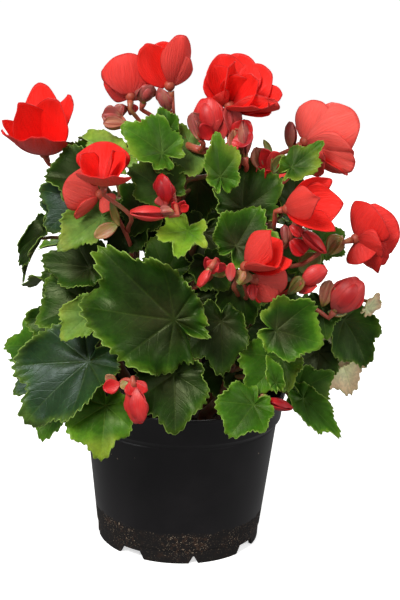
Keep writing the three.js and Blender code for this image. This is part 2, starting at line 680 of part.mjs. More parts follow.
    flowers: [
      { to: "bloom_large", from: 1, via: [[22, -42, 268]] },
      { to: "bloom_right_top", from: 1, via: [[54, -38, 258]] },
      { to: "bud_cluster_left", from: 1, via: [[18, -50, 260]] },
      { to: "bud_cluster_right", from: 1, via: [[30, -54, 256]] },
      { to: "bud_right_top", from: 1, via: [[46, -38, 254]] },
    ],
  },
  {
    name: "shoot_back_left",
    stem: [[-20, 22], [-34, 36, 125], [-42, 44, 170], [-46, 44, 214]],
    leaves: [
      { from: 0.2, at: [-64, 62, 112], tip: [-84, 84, 92], face: [-5, 6, 5] },
      { from: 0.5, at: [-56, 74, 152], tip: [-72, 98, 134], face: [-4, 7, 5] },
      { from: 0.6, at: [-84, 44, 158], tip: [-108, 56, 142], face: [-7, 4, 5] },
      { from: 0.9, at: [-62, 60, 196], tip: [-80, 82, 184], face: [-4, 5, 7] },
      { from: 1, at: [-58, 34, 222], tip: [-82, 46, 218], face: [-4, 3, 8] },
      { from: 0.7, at: [-68, 14, 186], tip: [-94, 8, 182], face: [-4, 1, 8] },
    ],
    flowers: [
      { to: "bloom_back_left", from: 0.8 },
    ],
  },
  {
    name: "shoot_back",
    stem: [[2, 26], [4, 40, 125], [4, 46, 175], [2, 38, 226]],
    leaves: [
      { from: 0.2, at: [-8, 82, 112], tip: [-14, 110, 92], face: [-1, 8, 5] },
      { from: 0.5, at: [14, 82, 150], tip: [20, 110, 134], face: [1, 8, 5] },
      { from: 0.8, at: [-14, 72, 188], tip: [-22, 98, 178], face: [-1, 6, 7] },
      { from: 1, at: [2, 46, 236], tip: [4, 76, 232], face: [0, 3, 9] },
      { from: 0.9, at: [-26, 24, 244], tip: [-52, 36, 244], face: [-2, 2, 9] },
      { from: 0.8, at: [20, 16, 232], tip: [34, -4, 234], face: [2, -1, 9], wide: 0.9 },
      { from: 0.7, at: [-14, 14, 205], tip: [-26, -8, 206], face: [-1, -2, 9], wide: 0.9 },
    ],
    flowers: [
      { to: "bloom_back", from: 0.8 },
    ],
  },
  {
    name: "shoot_back_right",
    stem: [[24, 16], [38, 30, 125], [46, 38, 170], [48, 34, 212]],
    leaves: [
      { from: 0.2, at: [62, 58, 112], tip: [82, 80, 92], face: [5, 6, 5] },
      { from: 0.5, at: [86, 34, 146], tip: [110, 46, 130], face: [7, 4, 5] },
      { from: 0.6, at: [56, 70, 156], tip: [74, 94, 140], face: [4, 7, 5] },
      { from: 0.9, at: [64, 56, 196], tip: [84, 76, 186], face: [4, 5, 7] },
      { from: 1, at: [62, 26, 222], tip: [88, 36, 220], face: [4, 3, 8] },
      { from: 0.7, at: [68, 12, 186], tip: [92, 6, 184], face: [4, 1, 8] },
    ],
    flowers: [
      { to: "bloom_back_right", from: 0.8 },
    ],
  },
];

// A petal runs from its flower's base to its tip, and its face is the way its inner side looks.
const BLOOMS = [
  {
    name: "bloom_far_left",
    base: [-87, -20, 250],
    axis: [-3, -6, 10],
    petals: [
      { tip: [-91, -10, 291], face: [-1, -9, -1], width: 24 },
      { tip: [-72, -16, 285], face: [-5, -7, 2], width: 16, bend: 0.25 },
      { tip: [-81, -32, 285], face: [-3, -8, 2], width: 30 },
      { tip: [-100, -34, 281], face: [3, -8, 3], width: 28 },
      { tip: [-111, -26, 270], face: [4, -6, 6], width: 18 },
      { tip: [-109, -44, 266], face: [3, 2, 9], width: 16 },
      { tip: [-87, -52, 264], face: [0, 7, 6], width: 32 },
    ],
  },
  {
    name: "bloom_left_cup",
    base: [-47, -78, 244],
    axis: [0, -5, 9],
    petals: [
      { tip: [-48, -68, 266], face: [0, -9, 2], width: 32 },
      { tip: [-34, -84, 261], face: [-8, -3, 4], width: 26 },
      { tip: [-60, -84, 259], face: [8, -3, 4], width: 26 },
      { tip: [-45, -108, 253], face: [0, 6, 7], width: 32 },
      { tip: [-41, -90, 264], face: [6, -2, 2], width: 13 },
    ],
  },
  {
    name: "bloom_left_fan",
    base: [-50, -60, 234],
    axis: [-5, -6, 5],
    petals: [
      { tip: [-70, -70, 241], face: [-1, 8, -1], width: 27, bend: 0.7 },
      { tip: [-43, -70, 228], face: [-2, 8, 2], width: 14 },
      { tip: [-64, -68, 222], face: [-1, 6, 6], width: 13 },
    ],
  },
  {
    name: "bloom_top_back",
    base: [-36, -22, 286],
    axis: [0, 6, 8],
    petals: [
      { tip: [-40, -22, 311], face: [0, 9, -1], width: 36, bend: 0.6, curl: 0.9 },
      { tip: [-53, -6, 298], face: [6, 6, 1], width: 25 },
      { tip: [-29, 8, 301], face: [-6, 6, 1], width: 20 },
      { tip: [-39, 10, 303], face: [0, -9, 2], width: 30 },
    ],
  },
  {
    name: "bloom_top",
    base: [-13, -30, 294],
    axis: [-2, -2, 9],
    petals: [
      { tip: [-7, -36, 324], face: [-4, 7, 0], width: 22, curl: 0.8 },
      { tip: [-19, -26, 319], face: [1, -9, 1], width: 24 },
      { tip: [-29, -36, 317], face: [4, -8, 1], width: 24 },
      { tip: [-15, -10, 313], face: [0, -9, 3], width: 26 },
    ],
  },
  {
    name: "bloom_large",
    base: [22, -50, 286],
    axis: [3, -4, 6],
    petals: [
      { tip: [18, -46, 315], face: [4, -8, 0], width: 29 },
      { tip: [29, -42, 315], face: [-1, -9, 0], width: 30 },
      { tip: [43, -46, 308], face: [-4, -8, 1], width: 28 },
      { tip: [51, -56, 295], face: [-3, -5, 7], width: 26 },
      { tip: [40, -74, 289], face: [-2, 2, 9], width: 26 },
      { tip: [46, -52, 283], face: [-3, -3, 9], width: 20 },
      { tip: [23, -58, 312], face: [8, -4, 0], width: 14 },
      { tip: [36, -62, 304], face: [-3, -7, 4], width: 20 },
    ],
  },
  {
    name: "bloom_right_top",
    base: [67, -36, 265],
    axis: [7, 4, 4],
    petals: [
      { tip: [75, -36, 289], face: [4, 7, -2], width: 30, curl: 0.8 },
      { tip: [96, -48, 282], face: [1, 8, -2], width: 34, curl: 0.8 },
      { tip: [95, -48, 261], face: [0, 7, 5], width: 26 },
      { tip: [94, -34, 247], face: [2, -2, 9], width: 26 },
      { tip: [96, -8, 263], face: [-4, -8, 0], width: 30 },
    ],
  },
  {
    name: "bloom_right_cup",
    base: [57, -72, 232],
    axis: [8, -5, 3],
    petals: [
      { tip: [82, -64, 248], face: [0, -8, -4], width: 24 },
      { tip: [89, -66, 235], face: [-4, -8, 1], width: 29 },
      { tip: [72, -98, 244], face: [4, 7, -1], width: 22, curl: 0.8 },
      { tip: [83, -86, 224], face: [-1, -2, 9], width: 24 },
    ],
  },
  {
    name: "bloom_far_right",
    base: [98, -58, 213],
    axis: [7, 5, 1],
    petals: [
      { tip: [107, -66, 233], face: [4, 7, -3], width: 34, curl: 0.7 },
      { tip: [122, -60, 223], face: [-1, 8, -1], width: 34, curl: 0.7 },
      { tip: [113, -70, 209], face: [0, 7, 4], width: 24 },
      { tip: [113, -56, 193], face: [2, 4, 8], width: 26 },
    ],
  },
  {
    name: "bloom_front_cup",
    base: [34, -90, 202],
    axis: [4, -5, 7],
    petals: [
      { tip: [47, -98, 225], face: [6, 5, 1], width: 23, curl: 0.8 },
      { tip: [54, -88, 217], face: [-3, -8, 3], width: 25 },
      { tip: [60, -90, 206], face: [-3, -5, 8], width: 22 },
      { tip: [50, -108, 207], face: [0, 4, 9], width: 22 },
    ],
  },
  {
    name: "bloom_front_shell",
    base: [40, -80, 192],
    axis: [8, -1, -2],
    petals: [
      { tip: [58, -86, 194], face: [-1, 8, 0], width: 24, curl: 0.9 },
      { tip: [53, -84, 184], face: [-1, 8, 2], width: 18 },
      { tip: [50, -66, 181], face: [0, -8, 3], width: 20 },
    ],
  },
  {
    name: "bloom_back_left",
    base: [-66, 74, 214],
    axis: [-5, 6, 5],
    petals: [
      { tip: [-74, 86, 236], face: [-6, 6, -3], width: 30 },
      { tip: [-89, 82, 222], face: [2, 7, 5], width: 30 },
      { tip: [-72, 99, 217], face: [-6, 0, 7], width: 30 },
    ],
  },
  {
    name: "bloom_back",
    base: [16, 84, 206],
    axis: [1, 8, 5],
    petals: [
      { tip: [20, 99, 228], face: [0, 8, -3], width: 30 },
      { tip: [6, 107, 214], face: [7, 3, 5], width: 30 },
      { tip: [31, 105, 209], face: [-4, 4, 7], width: 30 },
    ],
  },
  {
    name: "bloom_back_right",
    base: [58, 76, 208],
    axis: [2, 8, 5],
    petals: [
      { tip: [64, 90, 230], face: [1, 8, -3], width: 30 },
      { tip: [51, 100, 216], face: [7, 2, 5], width: 30 },
      { tip: [75, 95, 210], face: [-4, 5, 7], width: 30 },
    ],
  },
];

const BUDS = [
  { name: "bud_centre", base: [14, -98, 202], tip: [8, -100, 192], width: 9 },
  { name: "bud_low_left", base: [-26, -108, 135], tip: [-23, -110, 114], width: 16 },
  { name: "bud_low_right", base: [49, -86, 122], tip: [65, -84, 117], width: 10 },
  { name: "bud_right_upper", base: [65, -70, 220], tip: [80, -72, 207], width: 10 },
  { name: "bud_right_middle", base: [67, -78, 191], tip: [80, -78, 200], width: 11 },
  { name: "bud_right_lower", base: [89, -51, 167], tip: [103, -51, 187], width: 20 },
  { name: "bud_top_left", base: [-28, -31, 284], tip: [-25, -37, 295], width: 13 },
  { name: "bud_top_middle", base: [-13, -40, 281], tip: [-18, -44, 294], width: 13 },
  { name: "bud_upper_centre", base: [-12, -80, 234], tip: [-14, -82, 251], width: 15 },
  { name: "bud_left_long", base: [-10, -90, 230], tip: [-31, -92, 231], width: 10 },
  { name: "bud_cluster_left", base: [13, -60, 271], tip: [8, -58, 291], width: 19 },
  { name: "bud_cluster_right", base: [32, -60, 259], tip: [30, -60, 280], width: 15 },
  { name: "bud_right_top", base: [59, -38, 261], tip: [58, -39, 277], width: 8 },
];

const MATERIALS = {
  pot: new THREE.MeshStandardMaterial({ color: 0x17171a, roughness: 0.42, metalness: 0 }),
  soil: new THREE.MeshStandardMaterial({ color: 0x2c1d14, roughness: 0.95, metalness: 0 }),
  shoot: new THREE.MeshStandardMaterial({ color: 0x2c5a24, roughness: 0.45, metalness: 0 }),
  bloom: new THREE.MeshStandardMaterial({ color: 0xd8231c, roughness: 0.55, metalness: 0 }),
  bud: new THREE.MeshStandardMaterial({ color: 0xb04a42, roughness: 0.5, metalness: 0 }),
};

const carriedByName = new Map([...BLOOMS, ...BUDS].map((piece) => [piece.name, piece]));

function shootSolid(shoot) {
  const pieces = [stemSolid(shoot)];
  shoot.leaves.forEach((spec, i) => {
    const leaf = { ...LEAF_DEFAULTS, phase: WAVE_SHIFT * i, ...spec };
    pieces.push(leafStalkSolid(shoot, leaf), leafSolid(leaf));
  });
  for (const stalk of shoot.flowers) {
    pieces.push(flowerStalkSolid(shoot, stalk, carriedByName.get(stalk.to)));
  }
  return wasm.Manifold.union(pieces);
}

const begonia = new THREE.Group();
begonia.add(meshOf("pot", potSolid(), MATERIALS.pot));
begonia.add(meshOf("soil", soilSolid(SHOOTS), MATERIALS.soil));
SHOOTS.forEach((shoot) => begonia.add(meshOf(shoot.name, shootSolid(shoot), MATERIALS.shoot)));
BLOOMS.forEach((bloom) => begonia.add(meshOf(bloom.name, bloomSolid(bloom), MATERIALS.bloom)));
BUDS.forEach((bud) => begonia.add(meshOf(bud.name, budSolid(bud), MATERIALS.bud)));

export default begonia;
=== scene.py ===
# Potted begonia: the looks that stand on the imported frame.
# Sizes and places are millimetres until a mesh is made, and metres from there on.

import math
import random

import bmesh
import bpy
import numpy as np
from mathutils import Matrix, Vector, noise


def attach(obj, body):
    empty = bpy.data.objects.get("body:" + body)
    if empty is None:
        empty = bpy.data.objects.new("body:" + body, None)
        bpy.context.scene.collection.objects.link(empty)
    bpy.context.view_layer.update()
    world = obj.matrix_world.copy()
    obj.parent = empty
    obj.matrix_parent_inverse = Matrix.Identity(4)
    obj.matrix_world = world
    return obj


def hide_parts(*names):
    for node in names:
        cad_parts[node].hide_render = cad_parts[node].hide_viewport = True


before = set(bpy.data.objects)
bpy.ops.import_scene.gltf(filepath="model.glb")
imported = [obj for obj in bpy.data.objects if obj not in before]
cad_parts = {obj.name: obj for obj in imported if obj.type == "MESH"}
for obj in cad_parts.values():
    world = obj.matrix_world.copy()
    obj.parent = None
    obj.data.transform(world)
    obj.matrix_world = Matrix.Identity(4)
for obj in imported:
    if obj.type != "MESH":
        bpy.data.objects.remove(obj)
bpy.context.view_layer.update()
MM = 0.001
UP = np.array([0.0, 0.0, 1.0])

# Pot and soil sizes, as in the solids
POT_HEIGHT = 100
POT_BASE_RADIUS = 53
POT_STEP_HEIGHT = 9.6
POT_WALL_TOP = 79
POT_WALL_TOP_RADIUS = 61.3
COLLAR_BOTTOM = 83.5
COLLAR_BOTTOM_RADIUS = 64
COLLAR_TOP_RADIUS = 65.2
LIP_RADIUS = 66
LIP_HEIGHT = 2
POT_WALL = 1.4
FLOOR_UNDERSIDE = 6
FLOOR_THICKNESS = 1.6
FLOOR_TOP = FLOOR_UNDERSIDE + FLOOR_THICKNESS
FOOT_WALL = 2.4
FOOT_INSET = 0.6
STEP_PROUD = 0.5
CREASE_RISE = 1.2
GROOVE_DEPTH = 0.3
INNER_STEP = 0.4
CORNER_RADIUS = 0.5
CORNER_LARGEST_SHARE = 0.4
CORNER_STEPS = 3
SHARP_ANGLE = 40
POT_SIDES = 160
FOOT_COUNT = 4
FIRST_FOOT_TURN = 12
RECESS_TOP_WIDTH = 13
RECESS_BOTTOM_WIDTH = 19
RECESS_HEIGHT = 5.4
NOTCH_TOP_WIDTH = 0.6
NOTCH_WIDTH = 6.4
NOTCH_HEIGHT = 5
CUTTER_DEPTH = 12
CUTTER_PROUD = 3
CUTTER_BELOW = 1
CUTTER_FLARE = 0.5
DRAIN_RADIUS = 4
DRAIN_RING_RADIUS = 36
DRAIN_SIDES = 24
DIRT_BAND_HEIGHT = 22
SOIL_TOP = 88
SOIL_GAP = 1
SOIL_BEVEL = 1.5
SOIL_SIDES = 120
SOIL_RINGS = 36
# The height of the soil's humps and how close they lie, first the broad ones
SOIL_HUMPS = ((1.6, 0.09), (0.7, 0.45))
CRUMB_COUNT = 420
CRUMB_SPREAD = 55
CRUMB_SIZES = (0.7, 2.4)
CRUMB_WIDTHS = (0.5, 1)
CRUMB_HEIGHTS = (0.4, 0.8)
CRUMB_SPIN = 6.28
CRUMB_LEAN = 0.5
CRUMB_LIFT = 0.2
CRUMB_DENT = 0.14

# Stems and stalks
COLLAR_RISE = 3
ROOT_DEPTH = 34
STEM_RADIUS = 3.6
STEM_TIP_RADIUS = 2.4
STEM_SIDES = 12
STEM_STEPS = 26
NODE_SWELL = 0.12
NODE_EVERY = 6
NODE_SPREAD = 0.8
LEAF_STALK_RADIUS = 1.7
LEAF_STALK_END_RADIUS = 1.1
STALK_SIDES = 8
STALK_STEPS = 12
STALK_SEAT = 4
STALK_NECK = 2
STALK_SAG = 0.3
STALK_BACK = 0.7
STALK_RISE = 0.12
STALK_LEAN = 0.25
FLOWER_STALK_RADIUS = 1.3
FLOWER_KNOB_RADIUS = 2.1
FLOWER_NECK = 5
RECEPTACLE_RADIUS = 3.2
FIT_GAP = 0.3

# Leaf blades
BLADE = 0.5
LEAF_RINGS = 9
RING_CROWDING = 0.85
TOOTH_STEPS = 4
TEETH_PER_LOBE = 6
LEAF_HEART = (0.68, 0.27, 0.05)
LEAF_LOBES = 7
LARGE_LEAF_LOBES = 9
LARGE_LEAF = 38
LEAF_LOBE_DEPTH = 0.025
LEAF_NOTCH_DEPTH = 0.62
LEAF_NOTCH_SPREAD = 0.28
LEAF_POINT_RISE = 0.1
LEAF_POINT_SPREAD = 0.2
DIP_SHARPNESS = 1.6
TOOTH_RISE = 0.3
TOOTH_DEPTH = 0.064
SMALL_TOOTH_DEPTH = 0.024
FRILL_TURNS = 8
FINE_FRILL_TURNS = 13
FINE_FRILL = 0.8
QUILT = 0.024
# Places on a blade that show how it lies about its stalk: share of the radius, and angle
LEAF_PROBES = ((0, 0), (0.15, 0), (0.15, 0.6), (0.15, -0.6))
WAVE_SHIFT = 1.3
DRAW_SHIFT = 9
LEAF_DEFAULTS = dict(lean=0.15, cup=0.1, wave=0.05, roll=0.4, bend=0.5, lobed=0.09, frill=0.034)
# Brightness at a blade's middle and at its margin, and how yellow it is; below 0 the blade is greyed to
# blue, a painted sheen
LEAF_LOOKS = {
    "dark": (0.1, 0.24, 0),
    "glossy": (0, 0.26, 0.05),
    "blue": (0.2, 0.28, -0.65),
    "mid_dark": (0.22, 0.3, 0.05),
    "olive_dark": (0.26, 0.4, 0.35),
    "mid": (0.3, 0.5, 0.05),
    "rimmed": (0.06, 0.68, 0.1),
    "olive": (0.52, 0.62, 0.4),
    "olive_bright": (0.34, 0.56, 0.14),
    "bright": (0.34, 0.6, 0.08),
    "fresh": (0.5, 0.68, 0),
    "star": (0.72, 0.9, 0.2),
    "pale_green": (0.8, 0.95, 0.4),
    "yellowed": (0.8, 1, 0.95),
}

# Petals, buds and pods; a grid is rows along and columns across
PETAL = 0.5
PETAL_GRID = (16, 14)
BUD_GRID = (14, 12)
BRACT_GRID = (10, 8)
WING_GRID = (10, 5)
PETAL_NECK = 0.2
PETAL_WIDEST = 0.54
PETAL_NARROWING = 0.26
POINT_NARROWING = 1.6
PETAL_ARCH = 0.16
PETAL_FRILL = 0.014
PETAL_ROUNDING = 0.28
PETAL_DEFAULTS = dict(bend=0.5, curl=0.6, ruffle=0.03, foot=2, point=0)
BRACT_RUFFLE = 0.06
MIDDLE_PALENESS = 0.35
PALENESS_SPREAD = 0.3
EGG_SIDES = 20
EGG_ROWS = 14
BUD_FLATNESS = 0.75
BUD_HEART = 0.8
BUD_FOOT = 3.4
SECOND_TEPAL_SHADE = 0.06
TEPAL_SHAPE = dict(bend=1.5, curl=1.15, ruffle=0.015)
POD_BODY = 4.4
WING_FOOT = 0.08
WING_ROUNDING = 0.6
WING_WIDTH = 0.45
WING_FLARE = 0.75
WING_BOW = 0.16
WING_SIZES = (1.15, 0.85, 0.85)
# The shade of a bud's tepals and of its foot, from dark red through pink to green
BUD_LOOKS = {
    "dark_red": (0.06, 0.2),
    "red": (0.26, 0.7),
    "pink": (0.33, 0.8),
    "pink_green": (0.56, 0.86),
}

# The studio cove, in millimetres
COVE_FLAT = 2200
COVE_BEND = 900
COVE_HEIGHT = 2200
COVE_STEPS = 10
COVE_SIDES = 96

# Light and camera, in metres and watts: a light's name, place, width, power and colour
WARM_WHITE = (1.0, 0.99, 0.97)
LIGHTS = [
    ("key_soft", (-0.6, -1.0, 1.3), 0.7, 27, WARM_WHITE),
    ("right_soft", (1.3, -0.7, 0.8), 0.9, 8, (0.98, 0.99, 1.0)),
    ("low_soft", (-1.1, -0.75, 0.08), 0.35, 2.2, (0.96, 0.98, 1.0)),
    ("back_soft", (0.2, 1.3, 1.2), 1.2, 12, WARM_WHITE),
]
LIGHT_AIM = (0, 0, 0.18)
SKY_STRENGTH = 0.3
CAMERA_PLACE = (0.0092, -0.82, 0.382)
CAMERA_TARGET = (0.0092, 0, 0.157)
CAMERA_LENS = 80.8
CAMERA_SENSOR = 36
CAMERA_ROLL = 0.036

# Material slots of a shoot and of a bloom
LEAF_TOP, LEAF_UNDER, STEM, LEAF_STALK, FLOWER_STALK = range(5)
PETAL_INNER, PETAL_OUTER, CORE = range(3)

draws = random.Random(4)


# What the rows of the tables hold. A start is a share of the way up a stem.
def leaf_at(start, at, tip, face, look="mid", wide=1, **more):
    """A leaf whose blade joins its stalk at one point, ends in its tip and faces a way."""
    place = dict(start=start, at=at, tip=tip, face=face)
    return {**LEAF_DEFAULTS, **place, "look": look, "wide": wide, **more}


def stalk_to(name, start, *via):
    """A stalk from the stem to a flower or a bud, by way of points."""
    return dict(to=name, start=start, via=via)


def shoot_of(name, stem, *parts):
    """A stem from the soil through points, the first without its height, and what it bears."""
    leaves = [part for part in parts if "tip" in part]
    flowers = [part for part in parts if "to" in part]
    return dict(name=name, stem=stem, leaves=leaves, flowers=flowers)


def petal_to(tip, face, width, **more):
    """A petal from a flower's core to its tip, with the way its inner side faces."""
    return {**PETAL_DEFAULTS, "tip": tip, "face": face, "width": width, **more}


def bloom_of(name, base, axis, *petals, pale=MIDDLE_PALENESS):
    """A flower about its core, with how pale the backs of its petals are."""
    return dict(name=name, base=base, axis=axis, petals=petals, pale=pale)


def bud_at(name, base, tip, width, look, broad=False):
    """A bud of two tepals, one over the other, or side by side if it is broad."""
    return dict(name=name, base=base, tip=tip, width=width, look=look, broad=broad)


